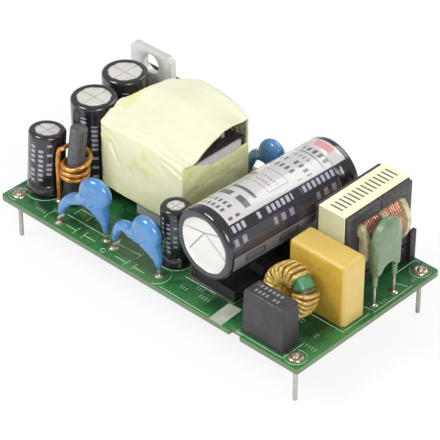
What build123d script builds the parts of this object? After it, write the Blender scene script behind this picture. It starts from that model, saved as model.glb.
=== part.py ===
from build123d import *
import math
import os

# Open frame power supply: a printed circuit board that stands on four solder
# pins and carries a mains input stage on the right, a taped transformer in
# the middle and the output stage on the left. Nothing on it moves.
#
# Everything is laid out on the board: x runs along its long front edge from
# the front left corner, y runs to the back and z = 0 is its top face. At the
# end each piece is moved so that the origin lies on the ground under the
# middle of the board, at the tips of the pins. Sizes are in millimetres.

# Board and its pins
BOARD_THICKNESS = 1.0
BOARD_CORNER = 0.6
EDGE_MARGIN = 1.1
RIGHT_MARGIN = 1.5
BACK_MARGIN = 1.0
NOTCH_WIDTH = 2.4
NOTCH_DEPTH = 0.85
NOTCH_OFFSET = 1.05
PIN_RADIUS = 0.4
PIN_DROP = 8.0
PIN_INSET = 2.3
PIN_SWELL = 0.04
PIN_CLEARANCE = 0.03
PIN_POINT = 0.4
DOME_RADIUS = 1.4
DOME_HEIGHT = 0.8

# Leads, holes and solder
LEAD_RADIUS = 0.3
HOLE_CLEARANCE = 0.15
WIRE_SIDES = 8
SOLDER_RADIUS = 0.95
SOLDER_TIP_RADIUS = 0.4
SOLDER_HEIGHT = 0.8
SOLDER_SIDES = 6
HOLE_SIDES = 6
SEAT = 0.1

# Upright electrolytic capacitors: sleeve radius and height
SMALL_CAP_RADIUS = 3.35
SMALL_CAP_HEIGHT = 12.0
SMALL_CAP_LEAN = 5.0
OUTPUT_CAP_RADIUS = 4.2
OUTPUT_CAP_HEIGHT = 17.2
SUPPLY_CAP_RADIUS = 2.65
SUPPLY_CAP_HEIGHT = 11.6
SLEEVE_WALL = 0.2
SLEEVE_LIP = 0.75
CAN_CHAMFER = 0.4
CAN_GROOVE = 0.35
CAN_GROOVE_HEIGHT = 2.0
VENT_DEPTH = 0.15
VENT_WIDTH = 0.25
CAP_SPACING = 1.2
FRONT_CAP_SPACING = 2.0
FRONT_CAP_DIRECTION = 65.3
REAR_CAP_DIRECTION = 101.3
SMALL_LEAD_PITCH = 2.5
OUTPUT_LEAD_PITCH = 3.5
SUPPLY_LEAD_PITCH = 2.0
SUPPLY_CAP_GAP = 1.3
SUPPLY_CAP_INSET = 5.0

# Lying bulk capacitor
BULK_RADIUS = 6.6
BULK_GROOVE = 0.6
BULK_GROOVE_FROM_END = 3.4
BULK_ROLL = 0.7
BULK_LENGTH = 30.0
BULK_FRONT = 3.4
BULK_UNDERSIDE = 4.3
BULK_YAW = 2.6
BULK_LIP = 1.2
BULK_LEAD_SPAN = 5.0
BUNG_THICKNESS = 1.4
LEAD_REACH = 1.6
LEAD_BEND = 0.8

# Flat transistor under the bulk capacitor
SWITCH_WIDTH = 10.2
SWITCH_LENGTH = 15.6
SWITCH_THICKNESS = 3.6
SWITCH_STEP = 1.4
SWITCH_STEP_LENGTH = 6.4
SWITCH_HOLE_RADIUS = 1.6
SWITCH_HOLE_INSET = 3.3
SWITCH_FRONT = 2.3
SWITCH_OFFSET = 0.3
SWITCH_LEAD_REACH = 2.0
SWITCH_LEAD_HEIGHT = 1.6
PAD_THICKNESS = 0.35
PAD_OVERLAP = 0.25
LEAD_PITCH = 2.54
FLAT_LEAD_WIDTH = 0.8
FLAT_LEAD_THICKNESS = 0.5

# Rod choke
ROD_RADIUS = 1.55
ROD_LENGTH = 15.2
ROD_LEAN = 6.5
ROD_LEAN_TOWARDS = 54.5
ROD_TUBE_WALL = 0.35
ROD_TUBE_TOP = 5.0
ROD_WIRE_RADIUS = 0.45
ROD_COIL_PITCH = 1.1
ROD_TURNS = 3
ROD_COIL_LIFT = 0.3
ROD_GAP = 1.5
ROD_DIRECTION = -74.8
ROD_FOOT = (-1.9, -1.3)

# Blue disc capacitors
DISC_RADIUS = 3.2
REAR_DISC_RADIUS = 2.8
DISC_THICKNESS = 3.0
DISC_RIM = 0.8
COAT_RADIUS = 0.95
COAT_SIDES = 8
COAT_REACH = 2.8
COAT_TIP_RADIUS = 0.55
OUTPUT_BRIDGE_PITCH = 9.96
OUTPUT_BRIDGE_TURN = 11.2
INPUT_BRIDGE_PITCH = 11.1
INPUT_BRIDGE_TURN = -0.8
REAR_BRIDGE_PITCH = 10.0
REAR_BRIDGE_INSET = 3.1

# Transformer
CORE_WIDTH = 18.3
CORE_DEPTH = 15.4
CORE_THICKNESS = 5.9
CORE_LEG = 2.3
CORE_TOP = 14.0
WINDING_BUILD = 4.0
BOBBIN_WALL = 0.8
FLANGE_RISE = 4.4
FIT = 0.15
WRAP = 0.4
WRAP_BOTTOM = 2.7
TENT_SHOULDER = -0.3
TENT_RISE = 5.7
TENT_SLOPE = 10.0
TENT_EDGE = 1.0
TENT_FRONT = 11.8
TENT_BULGE = 1.0
LEFT_FOLD_FRONT = (1.5, 4.5)
LEFT_FOLD_BACK = (3.5, 4.0)
LEFT_FOLD_RISE = 0.5
BACK_FOLD_LEFT = (3.4, 4.2)
BACK_FOLD_RIGHT = 8.6
BACK_FOLD_DROP = 1.0
RIGHT_FOLD = (5.0, 1.6)
RAIL_HEIGHT = 3.0
RAIL_CUT = 7.0
TRANSFORMER_PIN_PITCH = 3.8
TRANSFORMER_PIN_INSET = 1.2
STRIP_HEIGHT = 1.6
TRANSFORMER_GAP = 0.8

# Line filter choke
FILTER_DEPTH = 16.0
FILTER_HEIGHT = 12.8
FILTER_THICKNESS = 7.4
FILTER_LEG = 2.2
FILTER_BASE = 3.5
FILTER_TAPE_WIDTH = 5.6
FILTER_TAPE = 0.3
FILTER_FLANGE_RADIUS = 5.7
FILTER_FLANGE = 1.0
FILTER_WIND_RADIUS = 5.0
FILTER_CENTRE_LEG = 3.6
FILTER_FOOT_HEIGHT = 6.3
FILTER_FOOT_WIDTH = 1.4
FILTER_ARCH_HEIGHT = 1.6
FILTER_ARCH_INSET = 3.4
FILTER_PIN_SPAN = 5.0
FILTER_PIN_INSET = 2.6

# Input side
BULK_GAP = 6.4
INPUT_GAP = 1.85
FUSE_LENGTH = 8.9
FUSE_DEPTH = 4.3
FUSE_HEIGHT = 8.8
FUSE_TAPER = 1.5
FUSE_INSET = 1.1
FUSE_OFFSET = 0.7
FUSE_LEAD_PITCH = 5.0
X_CAP_LENGTH = 12.35
X_CAP_DEPTH = 5.6
X_CAP_HEIGHT = 12.2
X_CAP_CHAMFER = 0.6
X_CAP_LEAD_PITCH = 10.0
TOROID_RADIUS = 4.2
TOROID_BORE = 2.0
TOROID_WIDTH = 3.0
TOROID_WIRE = 0.7
TOROID_TURNS = 18
TOROID_LEAN = 9.0
TOROID_LIFT = 0.7
TOROID_GAP = 0.8
TOROID_OFFSET = 4.25
TOROID_LEAD_SPAN = 5.2
INPUT_SPACING = 0.5
THERMISTOR_RADIUS = 3.4
THERMISTOR_THICKNESS = 2.4
THERMISTOR_PITCH = 5.0
THERMISTOR_HEIGHT = 13.2
THERMISTOR_LEG = 0.9
THERMISTOR_SKIRT = 2.0
THERMISTOR_ARCH = 6.4
THERMISTOR_EDGE = 2.0
THERMISTOR_GAP = 5.2
THERMISTOR_COAT_END = 3.7

# Output rectifier with its bare tab
TAB_WIDTH = 10.05
TAB_THICKNESS = 1.3
TAB_TOP = 19.7
TAB_HOLE_RADIUS = 1.9
TAB_HOLE_DROP = 2.8
TAB_CORNER = 0.8
RECTIFIER_BOTTOM = 4.4
RECTIFIER_BODY_HEIGHT = 9.0
RECTIFIER_BODY_THICKNESS = 3.2
RECTIFIER_GAP = 0.9
RECTIFIER_LEFT = 2.9

# Axial resistor behind the transformer
AXIAL_RADIUS = 1.3
AXIAL_LENGTH = 6.5
AXIAL_PITCH = 10.0
AXIAL_GAP = 0.18

# Chips on the underside
BRIDGE_SIZE = (8.4, 6.4, 2.4)
CONTROLLER_SIZE = (4.9, 3.9, 1.5)
OPTO_SIZE = (4.6, 6.4, 2.0)
DIODE_SIZE = (4.3, 2.6, 1.6)
CHIP_SIZE = (2.0, 1.25, 0.6)
BRIDGE_OFFSET = (5.5, 2.1)
CONTROLLER_OFFSET = 1.0
CONTROLLER_GAP = 0.85
OPTO_OFFSET = (-2.0, 0.7)
DIODE_OFFSET = (2.0, -1.3)
RESISTOR_ROW = (6, 2.4)
RESISTOR_ROW_OFFSET = (12.0, 1.25)
CAPACITOR_ROW = (4, 2.6)
CAPACITOR_ROW_OFFSET = (-4.0, 8.6)
LEG_WIDTH = 0.7
LEG_REACH = 1.0
LEG_THICKNESS = 0.25


# Layout, worked out from the pieces and the gaps between them

def next_to(centre, radius, other_radius, gap, direction):
    """Centre of a round part beside another, in a direction in degrees."""
    reach = radius + other_radius + gap
    angle = math.radians(direction)
    return (centre[0] + reach * math.cos(angle), centre[1] + reach * math.sin(angle))


small_cap = (EDGE_MARGIN + SMALL_CAP_RADIUS, PIN_INSET + DOME_RADIUS - 0.3 + SMALL_CAP_RADIUS)
front_cap = next_to(small_cap, SMALL_CAP_RADIUS, OUTPUT_CAP_RADIUS, FRONT_CAP_SPACING,
                    FRONT_CAP_DIRECTION)
rear_cap = next_to(front_cap, OUTPUT_CAP_RADIUS, OUTPUT_CAP_RADIUS, CAP_SPACING,
                   REAR_CAP_DIRECTION)
coil_radius = ROD_RADIUS + 2 * ROD_WIRE_RADIUS + ROD_COIL_LIFT
rod_choke = next_to(front_cap, OUTPUT_CAP_RADIUS, coil_radius, ROD_GAP, ROD_DIRECTION)

tab_front = rear_cap[1] + OUTPUT_CAP_RADIUS + RECTIFIER_GAP
rectifier_x = RECTIFIER_LEFT + TAB_WIDTH / 2

tent_left = front_cap[0] + OUTPUT_CAP_RADIUS + TRANSFORMER_GAP
core_left = tent_left + 2 * WRAP
core_right = core_left + CORE_WIDTH
core_mid = (core_left + core_right) / 2
tent_right = core_right + 2 * WRAP
tent_front = TENT_FRONT
core_front = tent_front + 2 * WRAP
core_back = core_front + CORE_DEPTH
core_split = (core_front + core_back) / 2
tent_back = core_back + 2 * WRAP + TENT_BULGE
core_bottom = CORE_TOP - CORE_THICKNESS
core_centre_z = CORE_TOP - CORE_THICKNESS / 2

bulk_x = tent_right + BULK_GAP + BULK_RADIUS
bulk_z = BULK_UNDERSIDE + BULK_RADIUS
bulk_back = BULK_FRONT + BULK_LENGTH * math.cos(math.radians(BULK_YAW))
bulk_shift = BULK_LENGTH * math.sin(math.radians(BULK_YAW))
supply_cap = (bulk_x - BULK_RADIUS - SUPPLY_CAP_GAP - SUPPLY_CAP_RADIUS,
              SUPPLY_CAP_INSET + SUPPLY_CAP_RADIUS)

input_left = bulk_x + bulk_shift + BULK_RADIUS + INPUT_GAP
fuse_left = input_left + FUSE_OFFSET
fuse_back = FUSE_INSET + FUSE_DEPTH
wound_radius = TOROID_RADIUS + TOROID_WIRE
wound_width = TOROID_WIDTH + 2 * TOROID_WIRE
lean = math.radians(TOROID_LEAN)
toroid_z = wound_radius * math.cos(lean) + wound_width / 2 * math.sin(lean) + TOROID_LIFT
toroid_reach = wound_radius * math.sin(lean) + wound_width / 2 * math.cos(lean)
toroid_y = fuse_back + TOROID_GAP + toroid_reach
toroid_x = input_left + TOROID_OFFSET
x_cap_front = toroid_y + toroid_reach + TOROID_GAP
x_cap_back = x_cap_front + X_CAP_DEPTH
filter_front = x_cap_back + INPUT_SPACING
filter_back = filter_front + FILTER_DEPTH
filter_left = input_left + INPUT_SPACING
filter_x = filter_left + FILTER_THICKNESS / 2
filter_top = FILTER_BASE + FILTER_HEIGHT
filter_axis_z = FILTER_BASE + FILTER_HEIGHT / 2
board_length = input_left + X_CAP_LENGTH + RIGHT_MARGIN
rear_y = tent_back + DISC_THICKNESS / 2 + CAP_SPACING / 2
axial_y = rear_y + 2 * SOLDER_RADIUS + AXIAL_GAP
board_width = (max(filter_back, bulk_back + LEAD_REACH, axial_y + SOLDER_RADIUS)
               + BACK_MARGIN)
thermistor_x = board_length - THERMISTOR_EDGE
thermistor_y = x_cap_back + THERMISTOR_GAP


def feet_from(first, pitch, turn):
    """Both feet of a part, from the first one, its pitch and its turn in degrees."""
    angle = math.radians(turn)
    return first, (first[0] + pitch * math.cos(angle), first[1] + pitch * math.sin(angle))


output_bridge = feet_from((rod_choke[0] + coil_radius, EDGE_MARGIN + LEAD_RADIUS),
                          OUTPUT_BRIDGE_PITCH, OUTPUT_BRIDGE_TURN)
input_bridge = feet_from((output_bridge[1][0] + 2.4, EDGE_MARGIN + DISC_THICKNESS / 2),
                         INPUT_BRIDGE_PITCH, INPUT_BRIDGE_TURN)
rear_bridge = feet_from((core_right - REAR_BRIDGE_INSET, rear_y), REAR_BRIDGE_PITCH, 0.0)
y_cap_feet = {
    "output_bridge_capacitor": output_bridge,
    "input_bridge_capacitor": input_bridge,
    "rear_bridge_capacitor": rear_bridge,
}


# Small helpers

def block(x0, x1, y0, y1, z0, z1):
    """Block between two opposite corners."""
    centre = Pos((x0 + x1) / 2, (y0 + y1) / 2, (z0 + z1) / 2)
    return centre * Box(x1 - x0, y1 - y0, z1 - z0)


def upright(point, z0, z1, radius):
    """Upright cylinder over a point of the board."""
    return Pos(point[0], point[1], (z0 + z1) / 2) * Cylinder(radius, z1 - z0)


def turned(points):
    """Solid turned about the z axis from (radius, height) points."""
    return revolve(Plane.XZ * make_face(Polyline(*points, close=True)), Axis.Z)


def wire(points, radius, bend, sides=WIRE_SIDES):
    """Wire of even section along straight runs joined by bends."""
    line = FilletPolyline(*points, radius=bend) if len(points) > 2 else Line(*points)
    section = Plane(origin=line @ 0, z_dir=line % 0) * RegularPolygon(radius, sides)
    return sweep(section, path=line)


def frustum(point, z0, z1, radius0, radius1, sides):
    """Tapered post between two heights."""
    low = Plane.XY.offset(z0) * RegularPolygon(radius0, sides)
    high = Plane.XY.offset(z1) * RegularPolygon(radius1, sides)
    return Pos(point[0], point[1], 0) * loft([low, high], ruled=True)


# Board, pins and solder

def pin_places():
    """Centres of the four board pins."""
    near, far = PIN_INSET, board_width - PIN_INSET
    left, right = PIN_INSET, board_length - PIN_INSET
    return [(left, near), (right, near), (right, far), (left, far)]


def lead_places():
    """Centres of the holes that hold the leads that show."""
    places = [foot for feet in y_cap_feet.values() for foot in feet]
    places += thermistor_feet()
    places += rod_choke_feet()
    places += rectifier_feet()
    places += toroid_feet()
    places += bulk_feet()
    places += switch_feet()
    places += axial_feet()
    return places


def pair(centre, pitch):
    """Two places side by side about a centre."""
    return [(centre[0] - pitch / 2, centre[1]), (centre[0] + pitch / 2, centre[1])]


def hidden_places():
    """Centres of the solder joints of parts whose leads can't be seen."""
    places = pair(small_cap, SMALL_LEAD_PITCH) + pair(supply_cap, SUPPLY_LEAD_PITCH)
    places += pair(front_cap, OUTPUT_LEAD_PITCH) + pair(rear_cap, OUTPUT_LEAD_PITCH)
    for step in (-1, 0, 1, 2):
        x = core_mid + step * TRANSFORMER_PIN_PITCH
        places += [(x, core_front + TRANSFORMER_PIN_INSET), (x, core_back - TRANSFORMER_PIN_INSET)]
    places += pair((filter_x, filter_front + FILTER_PIN_INSET), FILTER_PIN_SPAN)
    places += pair((filter_x, filter_back - FILTER_PIN_INSET), FILTER_PIN_SPAN)
    places += pair((input_left + X_CAP_LENGTH / 2, (x_cap_front + x_cap_back) / 2),
                   X_CAP_LEAD_PITCH)
    places += pair((fuse_left + FUSE_LENGTH / 2, FUSE_INSET + FUSE_DEPTH / 2), FUSE_LEAD_PITCH)
    return places


def circuit_board():
    outline = Pos(board_length / 2, board_width / 2) * RectangleRounded(
        board_length, board_width, BOARD_CORNER)
    board = Pos(0, 0, -BOARD_THICKNESS) * extrude(outline, BOARD_THICKNESS)
    notch_x = input_left - NOTCH_OFFSET
    board -= block(notch_x, notch_x + NOTCH_WIDTH, -1, NOTCH_DEPTH, -BOARD_THICKNESS - 1, 1)
    tools = [upright(p, -BOARD_THICKNESS - 1, 1, PIN_RADIUS + PIN_SWELL + PIN_CLEARANCE)
             for p in pin_places()]
    hole = extrude(RegularPolygon(LEAD_RADIUS + HOLE_CLEARANCE, HOLE_SIDES), 1, both=True)
    tools += [Pos(x, y, -BOARD_THICKNESS / 2) * hole for x, y in lead_places()]
    return board - tools


def board_pins():
    tip, under, swell = -BOARD_THICKNESS - PIN_DROP, -BOARD_THICKNESS, PIN_RADIUS + PIN_SWELL
    pin = turned([(0, tip), (PIN_RADIUS * 0.6, tip), (PIN_RADIUS, tip + PIN_POINT),
                  (PIN_RADIUS, under), (swell, under), (swell, 0), (0, 0)])
    return [Pos(x, y, 0) * pin for x, y in pin_places()]


def solder_joints():
    dome = turned([(0, 0), (DOME_RADIUS, 0), (DOME_RADIUS * 0.75, DOME_HEIGHT * 0.6),
                   (DOME_RADIUS * 0.3, DOME_HEIGHT), (0, DOME_HEIGHT)])
    joints = [Pos(x, y, 0) * dome for x, y in pin_places()]
    under = -BOARD_THICKNESS
    for place in lead_places() + hidden_places():
        joints.append(frustum(place, under, under - SOLDER_HEIGHT,
                              SOLDER_RADIUS, SOLDER_TIP_RADIUS, SOLDER_SIDES))
    return joints


# Electrolytic capacitors

def capacitor_can(radius, height):
    """Drawn aluminium can with its rolled groove and scored vent."""
    can = radius - SLEEVE_WALL
    top = height - SLEEVE_WALL
    groove = CAN_GROOVE_HEIGHT
    body = turned([(0, 0), (can, 0), (can, groove - CAN_GROOVE), (can - CAN_GROOVE, groove),
                   (can, groove + CAN_GROOVE), (can, top - CAN_CHAMFER),
                   (can - CAN_CHAMFER, top), (0, top)])
    reach = can - SLEEVE_LIP - 0.2
    for turn in (0, 90):
        score = Rot(0, 0, turn) * Box(2 * reach, VENT_WIDTH, 2 * VENT_DEPTH)
        body -= Pos(0, 0, top) * score
    return body


def capacitor_sleeve(radius, height):
    """Shrunk sleeve that laps over the top edge of the can."""
    can = radius - SLEEVE_WALL
    top = height - SLEEVE_WALL
    lip = can - SLEEVE_LIP
    return turned([(can, SEAT), (radius, SEAT), (radius, height - CAN_CHAMFER),
                   (radius - CAN_CHAMFER, height), (lip, height), (lip, top),
                   (can - CAN_CHAMFER, top), (can, top - CAN_CHAMFER)])


def bulk_frame():
    """Place at the vent end of the bulk capacitor, with z along its axis."""
    return Pos(bulk_x, BULK_FRONT, bulk_z) * Rot(0, 0, -BULK_YAW) * Rot(-90, 0, 0)


def bulk_can():
    can = BULK_RADIUS - SLEEVE_WALL
    end = BULK_LENGTH - BUNG_THICKNESS
    groove = BULK_LENGTH - BULK_GROOVE_FROM_END
    dish = 0.3
    body = turned([(0, dish), (can - BULK_LIP - dish, dish), (can - BULK_LIP, 0.0),
                   (can - BULK_ROLL, 0.0), (can, BULK_ROLL), (can, groove - BULK_GROOVE),
                   (can - BULK_GROOVE, groove), (can, groove + BULK_GROOVE), (can, end), (0, end)])
    reach = can * 0.76
    for turn in (20, 140, 260):
        arm = Pos(reach / 2, 0, dish) * Box(reach, VENT_WIDTH, 2 * VENT_DEPTH)
        body -= Rot(0, 0, turn) * arm
    return bulk_frame() * body


def bulk_sleeve():
    can = BULK_RADIUS - SLEEVE_WALL
    lip = can - SLEEVE_LIP
    groove = BULK_LENGTH - BULK_GROOVE_FROM_END
    inside = [(can, groove - BULK_GROOVE), (can - BULK_GROOVE, groove), (can, groove + BULK_GROOVE)]
    outside = [(BULK_RADIUS, z) if x == can else (BULK_RADIUS - BULK_GROOVE, z) for x, z in inside]
    return bulk_frame() * turned(
        [(can, BULK_ROLL), (can - BULK_ROLL, 0.0), (lip, 0.0), (lip, -SLEEVE_WALL),
         (BULK_RADIUS - BULK_ROLL, -SLEEVE_WALL), (BULK_RADIUS, BULK_ROLL - SLEEVE_WALL)]
        + outside + [(BULK_RADIUS, BULK_LENGTH), (can, BULK_LENGTH)] + inside[::-1])


def bulk_bung():
    can = BULK_RADIUS - SLEEVE_WALL
    start = BULK_LENGTH - BUNG_THICKNESS
    edge = 0.3
    return bulk_frame() * turned([(0, start), (can, start), (can, BULK_LENGTH - edge),
                                  (can - edge, BULK_LENGTH), (0, BULK_LENGTH)])


def bulk_feet():
    """Where the two leads of the bulk capacitor go through the board."""
    yaw = math.radians(BULK_YAW)
    feet = []
    for side in (-1, 1):
        across = side * BULK_LEAD_SPAN / 2
        along = BULK_LENGTH + LEAD_REACH / 2
        feet.append((bulk_x + along * math.sin(yaw) + across * math.cos(yaw),
                     BULK_FRONT + along * math.cos(yaw) - across * math.sin(yaw)))
    return feet


def bulk_leads():
    yaw = math.radians(BULK_YAW)
    back = LEAD_REACH / 2
    leads = []
    for x, y in bulk_feet():
        start = (x - back * math.sin(yaw), y - back * math.cos(yaw), bulk_z)
        leads.append(wire([start, (x, y, bulk_z), (x, y, -BOARD_THICKNESS)],
                          LEAD_RADIUS, LEAD_BEND * 0.5))
    return leads


# Flat transistor under the bulk capacitor

def switch_frame():
    """Place at the front edge of the flat transistor, y along its length."""
    return Pos(bulk_x - SWITCH_OFFSET, BULK_FRONT + SWITCH_FRONT, 0) * Rot(0, 0, -BULK_YAW)


def switch_pad():
    half = SWITCH_WIDTH / 2 + PAD_OVERLAP
    return switch_frame() * block(-half, half, -PAD_OVERLAP, SWITCH_LENGTH, 0, PAD_THICKNESS)


def switch_body():
    half = SWITCH_WIDTH / 2
    bottom = PAD_THICKNESS
    side = make_face(Polyline(
        (0, bottom), (SWITCH_LENGTH, bottom), (SWITCH_LENGTH, bottom + SWITCH_THICKNESS),
        (SWITCH_STEP_LENGTH + 0.6, bottom + SWITCH_THICKNESS),
        (SWITCH_STEP_LENGTH, bottom + SWITCH_THICKNESS - SWITCH_STEP),
        (0, bottom + SWITCH_THICKNESS - SWITCH_STEP), close=True))
    body = Pos(-half, 0, 0) * extrude(Plane.YZ * side, SWITCH_WIDTH)
    body -= upright((0, SWITCH_HOLE_INSET), -1, BULK_UNDERSIDE, SWITCH_HOLE_RADIUS)
    return switch_frame() * body


def switch_foot_line():
    return SWITCH_LENGTH + SWITCH_LEAD_REACH


def switch_feet():
    """Where the transistor's three leads go through the board."""
    yaw = math.radians(BULK_YAW)
    feet = []
    for step in (-1, 0, 1):
        across, along = step * LEAD_PITCH, switch_foot_line()
        feet.append((bulk_x - SWITCH_OFFSET + along * math.sin(yaw) + across * math.cos(yaw),
                     BULK_FRONT + SWITCH_FRONT + along * math.cos(yaw) - across * math.sin(yaw)))
    return feet


def switch_leads():
    height = PAD_THICKNESS + SWITCH_LEAD_HEIGHT
    leads = []
    for step in (-1, 0, 1):
        across = step * LEAD_PITCH
        lead = wire([(across, SWITCH_LENGTH, height), (across, switch_foot_line(), height),
                     (across, switch_foot_line(), -BOARD_THICKNESS)], LEAD_RADIUS, 0.6)
        leads.append(switch_frame() * lead)
    return leads


# Rod choke

def rod_frame():
    """Place at the foot of the rod, with z along the rod that leans."""
    rise = (ROD_RADIUS + ROD_TUBE_WALL) * math.sin(math.radians(ROD_LEAN)) + SEAT
    turn = Rot(0, 0, ROD_LEAN_TOWARDS) * Rot(0, ROD_LEAN, 0)
    return Pos(rod_choke[0], rod_choke[1], rise) * turn


def coil_heights():
    """Heights of the lowest and the highest turn along the rod."""
    low = ROD_TUBE_TOP + ROD_WIRE_RADIUS
    return low, low + ROD_COIL_PITCH * (ROD_TURNS - 1)


def coil_point(direction, height):
    """Point of a turn on the board, in a direction in degrees round the rod."""
    reach = coil_radius - ROD_WIRE_RADIUS
    angle = math.radians(direction - ROD_LEAN_TOWARDS)
    place = rod_frame() * Pos(reach * math.cos(angle), reach * math.sin(angle), height)
    return place.position.X, place.position.Y, place.position.Z


def rod_choke_feet():
    """Where both ends of the rod choke's wire go through the board."""
    inner = coil_point(0.0, coil_heights()[0])
    return [(rod_choke[0] + ROD_FOOT[0], rod_choke[1] + ROD_FOOT[1]), (inner[0], inner[1])]


def rod_choke_core():
    edge = 0.2
    return rod_frame() * turned([(0, 0), (ROD_RADIUS, 0), (ROD_RADIUS, ROD_LENGTH - edge),
                                 (ROD_RADIUS - edge, ROD_LENGTH), (0, ROD_LENGTH)])


def rod_choke_tube():
    outer = ROD_RADIUS + ROD_TUBE_WALL
    return rod_frame() * turned([(ROD_RADIUS, 0), (outer, 0), (outer, ROD_TUBE_TOP),
                                 (ROD_RADIUS, ROD_TUBE_TOP)])


def rod_choke_coil():
    reach = coil_radius - ROD_WIRE_RADIUS
    ring = RegularPolygon(ROD_WIRE_RADIUS * 1.2, 6, rotation=30)
    low, high = coil_heights()
    turns = []
    for step in range(ROD_TURNS):
        turns.append(revolve(Plane.XZ * Pos(reach, low + ROD_COIL_PITCH * step) * ring, Axis.Z))
    coil = rod_frame() * (turns[0] + turns[1:])
    outer, inner = rod_choke_feet()
    towards = math.degrees(math.atan2(ROD_FOOT[1], ROD_FOOT[0]))
    start = coil_point(towards, high)
    out = (start[0] - 0.9, start[1] - 0.6, start[2])
    coil += wire([start, out, (outer[0], outer[1], start[2] - 3.0),
                  (outer[0], outer[1], -BOARD_THICKNESS)], LEAD_RADIUS, 0.5)
    end = coil_point(0.0, low)
    coil += wire([end, (inner[0], inner[1], -BOARD_THICKNESS)], LEAD_RADIUS, 0)
    return coil


# Disc capacitors with coated legs

def disc(radius, thickness):
    """Dipped disc with its round rim, facing along -y."""
    half, rim = thickness / 2, DISC_RIM
    points = [(0, -half), (radius * 0.5, -half), (radius * 0.84, -half * 0.66),
              (radius, -rim * 0.4), (radius, rim * 0.4), (radius * 0.84, half * 0.66),
              (radius * 0.5, half), (0, half)]
    return Rot(90, 0, 0) * turned(points)


def feet_frame(feet):
    """Place at the first foot, with x towards the second."""
    (x0, y0), (x1, y1) = feet
    return Pos(x0, y0, 0) * Rot(0, 0, math.degrees(math.atan2(y1 - y0, x1 - x0)))


def disc_capacitor(feet, radius, centre, elbow):
    """Body and leads: the left leg reaches out sideways, the right one drops.

    centre and elbow are (distance from the first foot, height) pairs.
    """
    place = feet_frame(feet)
    span = math.dist(*feet)
    along, height = centre
    out, bend = elbow
    start = bend - COAT_REACH
    arm = wire([(along, 0, height - radius / 2), (out, 0, bend), (out, 0, start)], COAT_RADIUS, 1.0,
               COAT_SIDES)
    drop = loft([Plane((along + 0.8, 0, height - 1.0), z_dir=(0, 0, -1))
                 * RegularPolygon(DISC_THICKNESS * 0.45, COAT_SIDES),
                 Plane((span + 0.1, 0, height * 0.42), z_dir=(0, 0, -1))
                 * RegularPolygon(COAT_RADIUS, COAT_SIDES),
                 Plane((span, 0, 1.0), z_dir=(0, 0, -1))
                 * RegularPolygon(COAT_TIP_RADIUS, COAT_SIDES)], ruled=True)
    body = Pos(along, 0, height) * disc(radius, DISC_THICKNESS) + arm + drop
    left = wire([(out, 0, start), (out, 0, start - 0.4), (0, 0, start - 0.4 - out * 0.9),
                 (0, 0, -BOARD_THICKNESS)], LEAD_RADIUS, 0.25)
    right = wire([(span, 0, 1.0), (span, 0, -BOARD_THICKNESS)], LEAD_RADIUS, 0)
    return place * body, [place * left, place * right]


# Transformer

def transformer_core(front):
    """Front or rear E half, with its E lying flat."""
    edge = core_front if front else core_back
    sign = 1 if front else -1
    low, high = min(edge, core_split), max(edge, core_split)
    half = block(core_left, core_right, low, high, core_bottom, CORE_TOP)
    near = edge + sign * CORE_LEG
    far = core_split + sign
    window = (min(near, far), max(near, far))
    centre = CORE_THICKNESS / 2
    for x0, x1 in ((core_left + CORE_LEG, core_mid - centre),
                   (core_mid + centre, core_right - CORE_LEG)):
        half -= block(x0, x1, window[0], window[1], core_bottom - 1, CORE_TOP + 1)
    return half


def bobbin_span():
    """Front and back of the room between the two yokes."""
    return core_front + CORE_LEG + FIT, core_back - CORE_LEG - FIT


def transformer_bobbin():
    y0, y1 = bobbin_span()
    inner = CORE_THICKNESS / 2 + FIT
    outer = inner + BOBBIN_WALL
    half_x = CORE_WIDTH / 2 - CORE_LEG - FIT
    z = core_centre_z
    tube = block(core_mid - outer, core_mid + outer, y0, y1, z - outer, z + outer)
    high = z + inner + FLANGE_RISE
    for a, b in ((y0, y0 + BOBBIN_WALL), (y1 - BOBBIN_WALL, y1)):
        tube += block(core_mid - half_x, core_mid + half_x, a, b, RAIL_HEIGHT, high)
    front_rail = block(core_left + RAIL_CUT, core_right, core_front, y0 + BOBBIN_WALL,
                       0, RAIL_HEIGHT)
    back_rail = block(core_left, core_right, y1 - BOBBIN_WALL, core_back, 0, RAIL_HEIGHT)
    tube += front_rail + back_rail
    tube -= block(core_mid - inner, core_mid + inner, y0 - 1, y1 + 1, z - inner, z + inner)
    room = tent(-FIT) + block(core_left, core_right, core_front, core_back, 0, RAIL_HEIGHT)
    return tube & room


def transformer_winding():
    y0, y1 = bobbin_span()
    inner = CORE_THICKNESS / 2 + FIT + BOBBIN_WALL
    outer = inner + WINDING_BUILD
    half_x = min(outer, CORE_WIDTH / 2 - CORE_LEG - FIT)
    coil = block(core_mid - half_x, core_mid + half_x, y0 + BOBBIN_WALL, y1 - BOBBIN_WALL,
                 core_centre_z - outer, core_centre_z + outer)
    coil = fillet(coil.edges().filter_by(Axis.Y), 1.6)
    coil -= block(core_mid - inner, core_mid + inner, y0 - 1, y1 + 1,
                  core_centre_z - inner, core_centre_z + inner)
    return coil & tent(-FIT)


def transformer_wrap():
    """Tape round the four sides of the core."""
    outer = block(core_left - WRAP, core_right + WRAP, core_front - WRAP, core_back + WRAP,
                  WRAP_BOTTOM + 1.4, CORE_TOP - STRIP_HEIGHT)
    inner = block(core_left, core_right, core_front, core_back, 0, CORE_TOP)
    return (outer - inner) & tent(0)


def transformer_strip():
    """Pale edge strip that shows above the tape on the right side."""
    low, high = CORE_TOP - STRIP_HEIGHT, CORE_TOP
    return block(core_right, core_right + WRAP, core_front + 2.0, core_back - 1.4, low, high)


def facet(points, grow):
    """Slanted plane through three points, moved outwards by a wall."""
    first, second, third = (Vector(*point) for point in points)
    return Plane(origin=first, z_dir=(second - first).cross(third - first)).offset(grow)


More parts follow.
